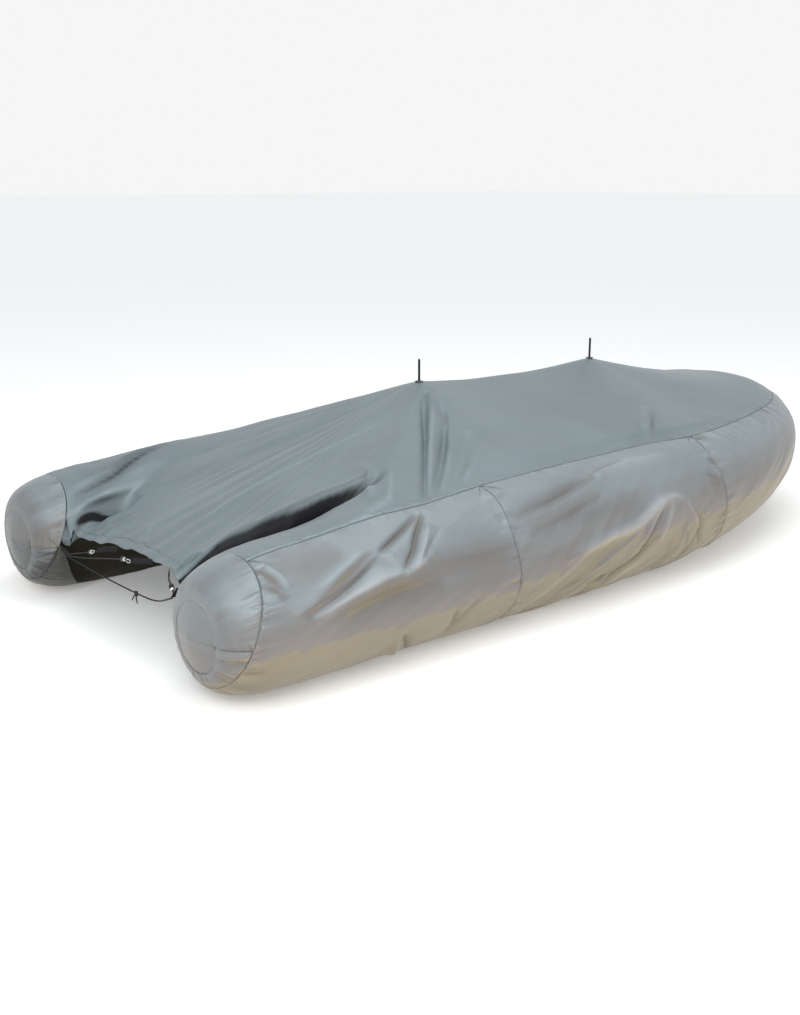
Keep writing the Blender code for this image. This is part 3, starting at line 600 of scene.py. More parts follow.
# Folds on the starboard side: points as (distance, degrees up the tube), height, width, lean.
STARBOARD_FOLDS = (
    (((0.50, 43), (0.39, 32), (0.29, 23), (0.18, 15)), 0.0221, 0.018, -0.4),
    (((0.49, 37), (0.41, 28), (0.31, 18), (0.22, 10)), -0.017, 0.020, 0.2),
    (((0.47, 42), (0.51, 41), (0.56, 37)), 0.0085, 0.010, 0.0),
    (((0.74, 70), (0.63, 56), (0.50, 41)), -0.0200, 0.013, 0.3),
    (((0.76, 70), (0.67, 49), (0.63, 37), (0.56, 24)), -0.017, 0.011, 0.3),
    (((0.74, 56), (0.67, 38), (0.60, 22)), 0.0153, 0.014, 0.0),
    (((0.77, 50), (0.70, 38), (0.64, 27)), -0.0102, 0.012, 0.0),
    (((0.24, 8), (0.38, 18), (0.49, 23), (0.57, 22), (0.64, 26), (0.72, 33)), 0.0290, 0.028,
     0.3),
    (((0.30, -2), (0.50, 8), (0.70, 10), (0.96, 12)), -0.0136, 0.050, 0.0),
    (((0.11, 73), (0.165, 66), (0.187, 53), (0.199, 38)), 0.0100, 0.009, 0.0),
    (((0.10, 55), (0.134, 51), (0.166, 43), (0.182, 32)), 0.0065, 0.008, 0.0),
    (((0.58, -28), (0.66, -60)), -0.0136, 0.012, 0.0),
    (((0.55, -32), (0.60, -62)), 0.0119, 0.012, 0.0),
    (((0.78, -18), (0.79, -38)), -0.0102, 0.012, 0.0),
    (((0.88, -10), (0.77, -46)), -0.0102, 0.014, 0.0),
    (((1.52, 65), (1.34, 52), (1.09, 43), (0.99, 43)), -0.0221, 0.042, 0.2),
    (((1.90, 68), (1.69, 68), (1.50, 62), (1.40, 58)), 0.0085, 0.020, 0.0),
    (((1.50, 54), (1.28, 43), (1.06, 34)), 0.0153, 0.030, 0.0),
    (((1.50, 43), (1.31, 33), (1.09, 24)), -0.0153, 0.032, 0.2),
    (((1.88, 19), (1.82, 25), (1.75, 25), (1.67, 18), (1.58, 11), (1.44, 8), (1.24, -2)),
     0.0250, 0.024, 0.3),
    (((1.752, 24), (1.702, 14), (1.664, 2), (1.636, -10)), 0.0110, 0.009, 0.0),
    (((1.744, 18), (1.690, 1), (1.632, -16), (1.570, -25), (1.490, -45)), -0.0150, 0.011, 0.0),
    (((1.81, 22), (1.748, 0), (1.73, -12)), 0.0110, 0.010, 0.0),
    (((1.724, -2), (1.668, -14), (1.614, -23), (1.506, -30), (1.384, -39)), -0.0140, 0.011,
     0.0),
    (((1.874, 20), (1.925, 4), (1.955, -14)), 0.0120, 0.010, 0.0),
    (((1.890, 16), (1.948, 1), (1.972, -20), (2.002, -34)), -0.0090, 0.009, 0.0),
    (((1.64, 8), (1.48, -9), (1.35, -23), (1.28, -40)), 0.0136, 0.016, 0.0),
    (((1.70, -9), (1.50, -24), (1.42, -58)), 0.0136, 0.014, 0.0),
    (((1.62, -16), (1.46, -34), (1.36, -62)), -0.0119, 0.014, 0.0),
    (((1.88, -2), (1.84, -24), (1.78, -50)), 0.0119, 0.012, 0.0),
    (((1.97, 0), (1.95, -22), (1.93, -50)), -0.0119, 0.014, 0.0),
)
# Painted highlights on crests that shine, and painted shade and a painted reflection of the
# ground in folds: rows as above, with a strength for height.
STARBOARD_SHADES = (
    (((0.24, 10), (0.38, 19), (0.49, 23), (0.54, 24), (0.58, 23)), 0.95, 0.018, 0.3),
    (((0.55, 20), (0.61, 24), (0.66, 30)), 0.80, 0.011, 0.0),
    (((0.30, 3), (0.46, 11), (0.58, 13), (0.72, 5)), -0.85, 0.040, 0.0),
    (((0.15, 60), (0.27, 52), (0.42, 56)), -0.36, 0.060, 0.0),
    (((0.66, 24), (0.82, 20), (1.04, 18)), -0.40, 0.045, 0.0),
    (((1.26, 30), (1.45, 28), (1.66, 32)), -0.25, 0.040, 0.0),
    (((0.486, 47), (0.43, 41), (0.372, 35), (0.286, 25), (0.20, 14)), -0.95, 0.012, 0.2),
    (((0.47, 50), (0.36, 40), (0.27, 31)), 0.35, 0.008, 0.0),
    (((0.50, 46), (0.53, 39), (0.56, 31)), 0.40, 0.014, 0.0),
    (((0.73, 68), (0.63, 56), (0.50, 43)), -0.60, 0.009, 0.0),
    (((0.75, 68), (0.67, 49), (0.63, 37), (0.57, 25)), -0.85, 0.009, 0.0),
    (((0.72, 53), (0.66, 38), (0.60, 24)), 0.45, 0.009, 0.0),
    (((0.11, 73), (0.165, 66), (0.187, 53), (0.199, 38)), 0.40, 0.007, 0.0),
    (((0.11, 66), (0.150, 60), (0.163, 50), (0.168, 40)), -0.75, 0.008, 0.0),
    (((0.10, 50), (0.134, 47), (0.160, 39), (0.172, 30)), -0.60, 0.007, 0.0),
    (((0.58, -28), (0.66, -60)), -0.50, 0.010, 0.0),
    (((0.78, -18), (0.79, -38)), -0.50, 0.010, 0.0),
    (((0.86, -12), (0.77, -46)), -0.50, 0.012, 0.0),
    (((1.52, 62), (1.38, 57), (1.22, 48), (1.06, 40)), -0.50, 0.022, 0.0),
    (((1.92, 66), (1.70, 68), (1.50, 62)), 0.35, 0.018, 0.0),
    (((1.70, 72), (1.58, 69), (1.49, 64)), -0.45, 0.008, 0.0),
    (((1.48, 43), (1.31, 33), (1.10, 24)), -0.35, 0.022, 0.0),
    (((1.874, 21), (1.82, 26), (1.752, 25), (1.668, 18), (1.586, 11), (1.46, 8), (1.30, 1)),
     0.90, 0.014, 0.3),
    (((1.66, 9), (1.56, 1), (1.42, -4), (1.28, -9)), -0.30, 0.020, 0.0),
    (((1.752, 24), (1.702, 14), (1.664, 2), (1.636, -10)), 0.60, 0.008, 0.0),
    (((1.744, 18), (1.690, 1), (1.632, -16), (1.570, -25), (1.490, -45)), -0.95, 0.009, 0.0),
    (((1.80, 20), (1.748, 0), (1.73, -12)), 0.50, 0.009, 0.0),
    (((1.724, -2), (1.668, -14), (1.614, -23), (1.506, -30), (1.384, -39)), -0.90, 0.009, 0.0),
    (((1.69, -26), (1.60, -36), (1.50, -56)), 0.45, 0.010, 0.0),
    (((1.874, 19), (1.925, 4), (1.952, -12)), 0.50, 0.008, 0.0),
    (((1.890, 16), (1.948, 1), (1.972, -20), (2.002, -34)), -0.70, 0.008, 0.0),
    (((1.86, 4), (1.884, -12), (1.942, -40), (1.832, -50)), -0.65, 0.009, 0.0),
    (((1.80, -10), (1.80, -26), (1.70, -54)), -0.60, 0.010, 0.0),
    (((1.40, -20), (1.28, -30), (1.18, -46)), -0.60, 0.012, 0.0),
    (((2.08, -8), (2.10, -24), (2.13, -44)), -0.55, 0.010, 0.0),
    (((2.10, 52), (2.13, 35)), -0.45, 0.009, 0.0),
    (((2.03, 37), (2.11, 24)), -0.45, 0.009, 0.0),
    (((2.03, 29), (2.11, 15)), -0.45, 0.009, 0.0),
)
# The same for the port side, where the cloth is fuller amidships.
PORT_SHADES = (
    (((0.28, 12), (0.48, 22), (0.70, 20), (0.88, 28)), 0.65, 0.020, 0.0),
    (((0.70, 52), (0.55, 24), (0.47, -4)), -0.60, 0.012, 0.0),
    (((1.14, 48), (1.36, 22), (1.66, 12), (1.86, 22)), 0.70, 0.018, 0.0),
    (((1.20, 62), (1.34, 36), (1.52, 18)), -0.45, 0.022, 0.0),
    (((1.98, 34), (1.88, 8), (1.84, -20)), -0.60, 0.011, 0.0),
    (((1.76, -6), (1.64, -30), (1.60, -58)), -0.55, 0.011, 0.0),
)
PORT_FOLDS = (
    (((0.62, 60), (0.44, 34), (0.34, 8)), 0.0165, 0.020, 0.3),
    (((0.70, 52), (0.55, 24), (0.47, -4)), -0.0135, 0.018, 0.0),
    (((0.28, 12), (0.48, 22), (0.70, 20), (0.88, 28)), 0.015, 0.030, 0.0),
    (((0.90, -8), (0.74, -30), (0.66, -58)), -0.012, 0.016, 0.0),
    (((1.20, 62), (1.34, 36), (1.52, 18)), -0.015, 0.030, 0.2),
    (((1.14, 48), (1.36, 22), (1.66, 12), (1.86, 22)), 0.018, 0.028, 0.0),
    (((1.92, 50), (1.80, 22), (1.74, -6)), 0.0135, 0.016, 0.0),
    (((1.98, 34), (1.88, 8), (1.84, -20)), -0.012, 0.014, 0.0),
    (((1.58, 0), (1.46, -22), (1.42, -56)), 0.012, 0.016, 0.0),
    (((1.76, -6), (1.64, -30), (1.60, -58)), -0.012, 0.014, 0.0),
)


def in_metres(rows):
    """The rows with their degrees up the tube as lengths round it."""
    turn = math.radians(1.0) * TUBE_RADIUS
    return [
        ([(a, b * turn) for a, b in points], height, width, lean)
        for points, height, width, lean in rows
    ]


def slanted(first, second, slope):
    """Coordinates along and across lines that climb by slope."""
    size = math.hypot(1.0, slope)
    return (first + slope * second) / size, (second - slope * first) / size


SETTLING = 14  # rounds in which a grid settles on borders that lean
PINCH = 0.004  # how far from a seam the cloth is still held down by it


def seam_dip(edge, depth):
    """The groove along a seam, by the distance from it."""
    return depth * np.exp(-((edge / 0.0045) ** 2))


def panel(first, last, rows, columns, fold_rows, shade_rows, seed, gathers, top_pucker):
    """A skirt panel between two borders, each the distance along the tube as a function of the
    angle. Rows run along the tube and columns from the free edge up to the deck seam. gathers
    are the free edge's pitch, height, slant and reach, and top_pucker is the height of the
    puckers under the deck seam. It returns the points, their distances along and round the
    tube, their distances from the nearest seam and along it, and their shades."""
    up = np.linspace(0.0, 1.0, columns)[None, :]
    part = np.linspace(0.0, 1.0, rows)[:, None]
    distance = np.full((rows, columns), 0.1)
    for _ in range(SETTLING):
        near = fold_back(distance)
        top = seam_angle(near) - SEAM_GAP / on_axis("radius", near)
        low = edge_angle(near)
        angle = low + (top - low) * up
        start = first(angle)
        end = last(angle)
        distance = start + (end - start) * part
    near = fold_back(distance)
    round_it = angle * TUBE_RADIUS
    from_first = distance - start
    from_last = end - distance
    from_top = (top - angle) * TUBE_RADIUS
    from_hem = (angle - low) * TUBE_RADIUS
    along, across = slanted(distance, round_it, 0.45)
    edge = np.minimum(np.minimum(from_first, from_last), from_top)
    full = folds(near, round_it, fold_rows)
    shade = folds(near, round_it, shade_rows)
    full += 0.0030 * noise(along, across, 0.30, 0.060, seed)
    full += 0.0014 * noise(along, across, 0.14, 0.026, seed + 10)
    full *= np.clip(edge / 0.030, 0.0, 1.0) ** 0.5
    drawn = np.zeros_like(distance)
    for border, layer in ((from_first, 20), (from_last, 30)):
        drawn += puckers(round_it, border, 0.020, 0.0052, 0.055, seed + layer)
    reach = 10.0 * top_pucker + 0.010
    drawn += puckers(distance, from_top, 0.034, top_pucker, reach, seed + 40)
    pitch, height, slant, reach = gathers
    hanging = puckers(distance + slant * from_hem, from_hem, pitch, height, reach, seed + 50)
    full += drawn + hanging
    # Painted highlights and shade along the puckers at the seams and the gathers at the free
    # edge.
    shade += 60.0 * drawn + 1.5 * hanging / height * np.clip(height / 0.012, 0.0, 1.0)
    full *= 1.0 - np.exp(-edge / PINCH)
    full -= seam_dip(edge, 0.0012)
    points = tube_point(distance, angle, full)
    points[..., 2] = np.maximum(points[..., 2], GROUND)
    run = np.where(from_top > edge, round_it, distance)
    from_seam = edge + 0.035 * (from_top <= edge)
    return points, distance, round_it, np.stack([from_seam, run], axis=-1), shade


def grid_normals(points):
    """Unit normals of a grid of points, from the differences between its neighbours."""
    across = np.cross(np.gradient(points, axis=0), np.gradient(points, axis=1))
    return across / np.maximum(np.linalg.norm(across, axis=-1, keepdims=True), 1e-12)


FACING_SPAN = 120.0  # degrees between cloth that faces the ground and cloth that faces the sky
FACING_LIMITS = (0.35, 0.92)
AFT_LIFT = 28.0  # degrees that cloth facing aft seems to be turned up by, in the light there
SHINE = 0.68  # how a shining crest faces


def sheet_object(name, points, first, second, seam, look, flip=False, round_rise=None,
                 shade=0.0, painted_hollow_shade=0.0):
    """A mesh from a grid of points, with the cloth's own lengths as its UV map and its
    thickness put on inside. The attribute facing is near 0 where the cloth faces the ground
    and near 1 where it faces the sky: a half, plus its degrees above BELLY_EDGE over
    FACING_SPAN; the colour ramps turn it into a painted reflection of the warm ground and of
    the sky. from_seam and along_seam are the distances from the nearest seam and along it.
    round_rise is the rise of the smooth tube's own normal, which counts for half. shade is
    above 0 on a crest, which gets a painted highlight, and below 0 in a crease, which gets
    painted shade and a painted reflection of the ground. The last argument is how much shade
    is painted on a place in a hollow; below 0 it paints light."""
    rows, columns = points.shape[:2]
    index = np.arange(rows * columns).reshape(rows, columns)
    faces = np.stack([index[:-1, :-1], index[1:, :-1], index[1:, 1:], index[:-1, 1:]], axis=-1)
    faces = faces.reshape(-1, 4)
    outward = grid_normals(points)
    if flip:
        faces = faces[:, ::-1]
        outward = -outward
    mesh = bpy.data.meshes.new(name)
    mesh.from_pydata(points.reshape(-1, 3).tolist(), [], faces.tolist())
    uv = mesh.uv_layers.new(name="cloth")
    flat = np.stack([first, second], axis=-1).reshape(-1, 2)
    uv.data.foreach_set("uv", flat[faces.reshape(-1)].astype(np.float32).ravel())
    distance = np.zeros_like(first) if round_rise is None else fold_back(first)
    rise = np.degrees(np.arcsin(np.clip(outward[..., 2], -1.0, 1.0)))
    if round_rise is not None:
        rise = 0.5 * rise + 0.5 * round_rise
    aft = np.clip(-outward[..., 0], 0.0, 1.0)
    facing = (rise - from_table(BELLY_EDGE, distance) + AFT_LIFT * aft**2) / FACING_SPAN + 0.5
    facing = np.clip(facing, *FACING_LIMITS)
    # Cloth turned in under the tube, which sees neither the sky nor the lit ground.
    inward = np.clip(-2.0 * np.sign(points[..., 1]) * outward[..., 1], 0.0, 1.0)
    inward *= np.clip(-(rise + 4.0) / 12.0, 0.0, 1.0)
    shade = np.clip(np.broadcast_to(shade, first.shape), -1.0, 1.0)
    # Painted shade: creases, cloth turned in under the tube and hollows are coloured darker.
    facing += 0.80 * (facing - 0.30) * np.minimum(shade, 0.0) - 0.35 * inward - painted_hollow_shade
    # Painted highlight on crests open to the sky.
    open_crest = np.maximum(shade, 0.0) * (facing > SHINE) * (painted_hollow_shade < 0.01)
    facing += 0.75 * (SHINE - facing) * open_crest
    for label, value in (("facing", np.clip(facing, 0.0, 1.0)), ("from_seam", seam[..., 0]),
                         ("along_seam", seam[..., 1]), ("shade", shade)):
        layer = mesh.attributes.new(label, "FLOAT", "POINT")
        layer.data.foreach_set("value", value.astype(np.float32).ravel())
    mesh.shade_smooth()
    made = link(bpy.data.objects.new(name, mesh), look)
    thick = made.modifiers.new("cloth", "SOLIDIFY")
    thick.thickness = CLOTH
    thick.offset = -1.0
    return made


def cloth_group():
    """A node group for both cloths. The colour is multiplied by slow blotches, by a fine
    speckle and by 1 + shade on crests or 1 + 0.42 shade in folds, which is a painted highlight
    on crests and painted shade in folds. The relief is a plain weave on slack creases, and
    puckers that leave the seams at right angles and die out within 80 mm."""
    group = bpy.data.node_groups.new("coated_cloth", "ShaderNodeTree")
    face = group.interface
    face.new_socket("Color", in_out="INPUT", socket_type="NodeSocketColor")
    face.new_socket("Roughness", in_out="INPUT", socket_type="NodeSocketFloat")
    face.new_socket("Color", in_out="OUTPUT", socket_type="NodeSocketColor")
    face.new_socket("Roughness", in_out="OUTPUT", socket_type="NodeSocketFloat")
    face.new_socket("Normal", in_out="OUTPUT", socket_type="NodeSocketVector")
    links = group.links

    def node(kind, **settings):
        made = group.nodes.new(kind)
        set_node(made, settings)
        return made

    def maths(operation, first, second):
        made = node("ShaderNodeMath", operation=operation)
        for socket, value in zip(made.inputs, (first, second)):
            if isinstance(value, float):
                socket.default_value = value
            else:
                links.new(value, socket)
        return made.outputs["Value"]

    def ranged(value, low, high, to_low, to_high):
        made = node("ShaderNodeMapRange", interpolation_type="SMOOTHSTEP")
        for label, number in (("From Min", low), ("From Max", high), ("To Min", to_low),
                              ("To Max", to_high)):
            made.inputs[label].default_value = number
        links.new(value, made.inputs["Value"])
        return made.outputs["Result"]

    def bump(height, strength, distance, normal=None):
        made = node("ShaderNodeBump", Strength=strength, Distance=distance)
        links.new(height, made.inputs["Height"])
        if normal:
            links.new(normal, made.inputs["Normal"])
        return made.outputs["Normal"]

    def noise_on(vector, **settings):
        made = node("ShaderNodeTexNoise", **settings)
        links.new(vector, made.inputs["Vector"])
        return made.outputs["Fac"]

    start = node("NodeGroupInput")
    end = node("NodeGroupOutput")
    where = node("ShaderNodeTexCoord")
    blotch = noise_on(where.outputs["Object"], Scale=3.0, Detail=5.0)
    fine = noise_on(where.outputs["UV"], Scale=700.0, Detail=1.0)
    blotch = ranged(blotch, 0.3, 0.7, 0.94, 1.06)
    speckle = ranged(fine, 0.2, 0.8, 0.90, 1.10)
    mixed = node("ShaderNodeMix", data_type="RGBA", blend_type="MULTIPLY")
    mixed.inputs[0].default_value = 1.0
    links.new(start.outputs["Color"], mixed.inputs[6])
    # The attribute shade: painted highlight on crests, painted shade in folds.
    fold = node("ShaderNodeAttribute", attribute_name="shade").outputs["Fac"]
    crest = maths("ADD", maths("MAXIMUM", fold, 0.0), 1.0)
    fold = maths("ADD", crest, maths("MULTIPLY", maths("MINIMUM", fold, 0.0), 0.42))
    links.new(maths("MULTIPLY", maths("MULTIPLY", blotch, speckle), fold), mixed.inputs[7])
    links.new(mixed.outputs[2], end.inputs["Color"])
    links.new(maths("MULTIPLY", start.outputs["Roughness"], blotch), end.inputs["Roughness"])

    threads = []
    for direction in ("X", "Y"):
        wave = node("ShaderNodeTexWave", bands_direction=direction, Scale=420.0)
        links.new(where.outputs["UV"], wave.inputs["Vector"])
        threads.append(wave.outputs["Fac"])
    weave = maths("MAXIMUM", *threads)
    slack = noise_on(
        where.outputs["Object"], noise_type="RIDGED_MULTIFRACTAL", Scale=5.5, Detail=3.0,
        Distortion=0.6)
    from_seam = node("ShaderNodeAttribute", attribute_name="from_seam")
    along_seam = node("ShaderNodeAttribute", attribute_name="along_seam")
    place = node("ShaderNodeCombineXYZ")
    links.new(along_seam.outputs["Fac"], place.inputs["X"])
    links.new(maths("MULTIPLY", from_seam.outputs["Fac"], 0.2), place.inputs["Y"])
    gathers = noise_on(place.outputs["Vector"], Scale=62.0, Detail=1.0)
    spread = noise_on(place.outputs["Vector"], Scale=14.0, Detail=1.0)
    near = ranged(from_seam.outputs["Fac"], 0.0, 0.080, 1.0, 0.0)
    near = maths("MULTIPLY", near, ranged(spread, 0.35, 0.65, 0.25, 1.0))
    pucker = maths("MULTIPLY", gathers, near)
    creased = bump(slack, 0.20, 0.004)
    puckered = bump(pucker, 1.0, 0.015, creased)
    links.new(bump(weave, 0.12, 0.0004, puckered), end.inputs["Normal"])
    return group


COATED_CLOTH = cloth_group()


def cloth_look(name, stops, metallic, roughness, sheen=0.15, specular=0.5):
    """A cloth's colour by the attribute facing, which the stops turn into a painted reflection
    of ground and sky, with the cloth group's blotches, speckle, painted highlights and painted
    shade, and its relief.
    """
    made = bpy.data.materials.new(name)
    made.use_nodes = True
    nodes = made.node_tree.nodes
    links = made.node_tree.links
    shader = nodes["Principled BSDF"]
    for label, value in (("Metallic", metallic), ("Sheen Weight", sheen),
                         ("Specular IOR Level", specular), ("Sheen Roughness", 0.5)):
        shader.inputs[label].default_value = value
    facing = nodes.new("ShaderNodeAttribute")
    facing.attribute_name = "facing"
    ramp = nodes.new("ShaderNodeValToRGB")
    ramp.color_ramp.interpolation = "EASE"
    while len(ramp.color_ramp.elements) < len(stops):
        ramp.color_ramp.elements.new(0.5)
    for element, (place, colour) in zip(ramp.color_ramp.elements, stops):
        element.position = place
        element.color = (*colour, 1.0)
    links.new(facing.outputs["Fac"], ramp.inputs["Fac"])
    group = nodes.new("ShaderNodeGroup")
    group.node_tree = COATED_CLOTH
    group.inputs["Roughness"].default_value = roughness
    links.new(ramp.outputs["Color"], group.inputs["Color"])
    for output, label in (("Color", "Base Color"), ("Roughness", "Roughness"),
                          ("Normal", "Normal")):
        links.new(group.outputs[output], shader.inputs[label])
    return made


# Colour by facing: the beige low stops are a painted reflection of the warm ground, the bluer
# high ones a painted reflection of the sky, and the darkest stop is painted shade.
silver = cloth_look(
    "silver_coated_cloth",
    (
        (0.05, (0.055, 0.052, 0.048)),
        (0.36, (0.245, 0.206, 0.140)),
        (0.498, (0.250, 0.212, 0.146)),
        (0.514, (0.208, 0.186, 0.168)),
        (0.66, (0.178, 0.171, 0.165)),
        (0.78, (0.188, 0.194, 0.197)),
        (0.92, (0.205, 0.238, 0.250)),
        (1.00, (0.215, 0.240, 0.250)),
    ),
    metallic=0.38,
    roughness=0.50,
)
# The same cloth low on the port tube's end, where the flap keeps the light off it.
shaded = cloth_look(
    "silver_cloth_in_shade",
    (
        (0.00, (0.040, 0.040, 0.038)),
        (0.38, (0.088, 0.090, 0.088)),
        (0.60, (0.120, 0.126, 0.127)),
        (0.90, (0.185, 0.205, 0.212)),
    ),
    metallic=0.38,
    roughness=0.50,
)


def aft_border(angle, gap=SEAM_GAP):
    """The ring seam, moved forward by the gap."""
    return ring_distance(angle) + gap


def mid_border(angle, gap=0.0):
    """The seam amidships, which bends aft on the tube's shoulder, moved forward by the gap."""
    return MID_SEAM - 0.020 * np.exp(-(((angle - 0.45) / 0.45) ** 2)) + gap


def bow_border(angle, gap=0.0):
    """The bow seam, a parabola that is steeper above the tube's shoulder, moved by the gap."""
    lean = np.where(angle > 0.44, (angle - 0.44) / 1.05, (angle - 0.44) / 2.2)
    return BOW_SEAM - 0.035 + 0.055 * lean**2 + gap


HALF_GAP = SEAM_GAP / 2
TO_PORT = np.array([1.0, -1.0, 1.0])
ROUND = 0.78  # how far a panel reaches round the tube
seam_rows = {"side_stitches": [], "bow_stitches": [], "cap_stitches": [], "hem_stitches": []}


def note_row(label, points, flip, *rows, share=0.4):
    """Keeps lines just inside a panel's borders, with its outward normals, for the stitches
    there. Each line lies between two rows of the grid, at a share of the way to the second."""
    outward = grid_normals(points) * (-1.0 if flip else 1.0)
    for edge, inner in rows:
        seam_rows[label].append(tuple(
            (grid[edge] * (1.0 - share) + grid[inner] * share).reshape(-1, 3)
            for grid in (points, outward)))


# A cell is the size of the grid's cells, and a seed starts the random draws of the noise.
for label, table, shades, to_port, seed, cell in (
    ("starboard", STARBOARD_FOLDS, STARBOARD_SHADES, False, 100, 0.0048),
    ("port", PORT_FOLDS, PORT_SHADES, True, 300, 0.0085),
):
    for part, first, last, long, gathers in (
        ("aft", aft_border, lambda angle: mid_border(angle, -HALF_GAP), 0.97,
         (0.080, 0.004, -0.5, 0.11)),
        ("fwd", lambda angle: mid_border(angle, HALF_GAP),
         lambda angle: bow_border(angle, -HALF_GAP), 1.10, (0.042, 0.018, -1.3, 0.19)),
    ):
        points, distance, round_it, seam, shade = panel(
            first, last, int(long / cell), int(ROUND / cell), in_metres(table),
            in_metres(shades), seed, gathers, 0.003)
        if to_port:
            points = points * TO_PORT
        name = f"side_{part}_{label}"
        note_row(
            "side_stitches", points, to_port, (np.s_[1:-1, -1], np.s_[1:-1, -2]),
            (np.s_[-1, 1:-1], np.s_[-2, 1:-1]))
        piece = sheet_object(
            name + "_cloth", points, distance, round_it, seam, silver, flip=to_port,
            round_rise=np.degrees(round_it / TUBE_RADIUS), shade=shade)
        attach(piece, "root")
        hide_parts(name)
        seed += 60


# ---- Bow panel ------------------------------------------------------------------------------
# One piece of the same cloth that goes round the bow, puckered along the seam above it and
# drawn into many small upright gathers towards its free edge.
BOW_ROWS = 330
BOW_COLUMNS = 118
points, distance, round_it, seam, shade = panel(
    lambda angle: bow_border(angle, HALF_GAP),
    lambda angle: 2.0 * LENGTH - bow_border(angle, HALF_GAP),
    BOW_ROWS, BOW_COLUMNS, [], [], 500, (0.046, 0.014, -0.2, 0.13), 0.007)
note_row("bow_stitches", points, False, (np.s_[1:-1, -1], np.s_[1:-1, -2]))
bow = sheet_object(
    "bow_cloth", points, distance, round_it, seam, silver,
    round_rise=np.degrees(round_it / TUBE_RADIUS), shade=shade)
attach(bow, "root")
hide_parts("bow_panel")


# ---- Tube-end caps --------------------------------------------------------------------------
# Two half caps close each tube's tapered end, with a round crease where the tube's own end
# lies, a seam between the halves and a ring seam to the side panel and the deck.
CAP_SEAM_Z = 0.200
CAP_GAP = 0.0002  # how far the cloth stays from the middle of each of its seams
CAP_RADIUS = 0.18  # the tube's mean radius there
NOSE_BULGE = 0.024
CAP_ROWS = 62
CAP_COLUMNS = 120
RING_STITCHED = 62  # how far the ring seam of an upper cap is in sight, in columns
LEVEL_STITCHED = 40  # how far its level seam is, in rows


def cap(upper, seed):
    """A half cap. Columns run over the tube, and rows from the ring seam to the nose. The
    cloth is pinched at both seams, stands up a little where the tube's flat end begins, and
    dips there. It returns what panel does."""
    columns = np.linspace(0.0, 1.0, CAP_COLUMNS)[None, :]
    side_rows = CAP_ROWS * 2 // 3
    part = np.linspace(0.0, 1.0, side_rows)[:, None]
    distance = np.full((side_rows, CAP_COLUMNS), 0.05)
    for _ in range(SETTLING):
        level = (CAP_SEAM_Z - on_axis("z", distance)) / on_axis("radius", distance)
        level = np.arcsin(np.clip(level, -1.0, 1.0))
        sweep = math.pi - 2.0 * level if upper else -math.pi - 2.0 * level
        angle = level + sweep * columns
        distance = aft_border(angle, -CAP_GAP) * (1.0 - part)
    ring = aft_border(angle, -CAP_GAP) - distance
    seam = np.broadcast_to(
        np.minimum(columns, 1.0 - columns) * math.pi * CAP_RADIUS, distance.shape)
    round_it = angle * CAP_RADIUS
    edge = np.minimum(seam, ring)
    full = puckers(round_it, ring, 0.022, 0.0085, 0.050, seed)
    full += puckers(distance, seam, 0.018, 0.0050, 0.045, seed + 5)
    full += puckers(round_it, distance + 0.002, 0.016, 0.0022, 0.030, seed + 7)
    full += 0.0018 * noise(round_it, distance, 0.05, 0.12, seed + 9)
    full *= 1.0 - np.exp(-edge / PINCH)
    under_deck = np.clip((angle - 1.38) / 0.10, 0.0, 1.0) * (seam > ring)
    full -= seam_dip(edge, 0.0010) * (1.0 - under_deck)
    full *= np.clip(distance / 0.010, 0.0, 1.0)
    full += 0.0010 * np.exp(-((distance / 0.008) ** 2))
    side = tube_point(distance, angle, full)
    side_run = np.where(ring > seam, distance, round_it)

    # The flat end of the tube: share is the distance from its middle over its radius.
    turn, share = np.meshgrid(
        math.pi * columns[0] * (1.0 if upper else -1.0),
        np.linspace(1.0, 0.0, CAP_ROWS - side_rows + 1)[1:])
    from_rim = (1.0 - share) * NOSE_RADIUS
    from_middle = np.abs(np.sin(turn)) * share * NOSE_RADIUS
    dent = 0.0018 * np.exp(-(((from_rim - 0.006) / 0.008) ** 2))
    dent += puckers(turn * NOSE_RADIUS, from_rim, 0.014, 0.0016, 0.022, seed + 11)
    dent += puckers(share * NOSE_RADIUS, from_middle, 0.016, 0.0014, 0.020, seed + 13)
    dent *= 1.0 - np.exp(-((from_middle / 0.024) ** 2))
    x = -NOSE_BULGE * (1.0 - share**1.4) + dent + STERN_X
    y = -HALF_SPACING - NOSE_RADIUS * share * np.cos(turn)
    z = CAP_SEAM_Z + NOSE_RADIUS * share * np.sin(turn)
    disc = np.stack([x, y, z], axis=-1)
    disc_run = np.where(from_rim > from_middle, share * NOSE_RADIUS, turn * NOSE_RADIUS)
    points = np.concatenate([side, disc])
    points = points + [0.0, 0.0, CAP_GAP if upper else -CAP_GAP]
    points[..., 2] = np.maximum(points[..., 2], GROUND)
    first = np.concatenate([distance, share * NOSE_RADIUS - 0.1])
    second = np.concatenate([round_it, turn * CAP_RADIUS])
    # Painted highlights and shade along the puckers and the dent of the flat end.
    shade = np.concatenate([60.0 * full, 8.0 * dent])
    from_seam = np.concatenate(
        [edge + 0.08 * under_deck, 2.2 * np.minimum(from_rim, from_middle) + 0.030])
    run = np.concatenate([side_run, disc_run])
    return points, first, second, np.stack([from_seam, run], axis=-1), shade


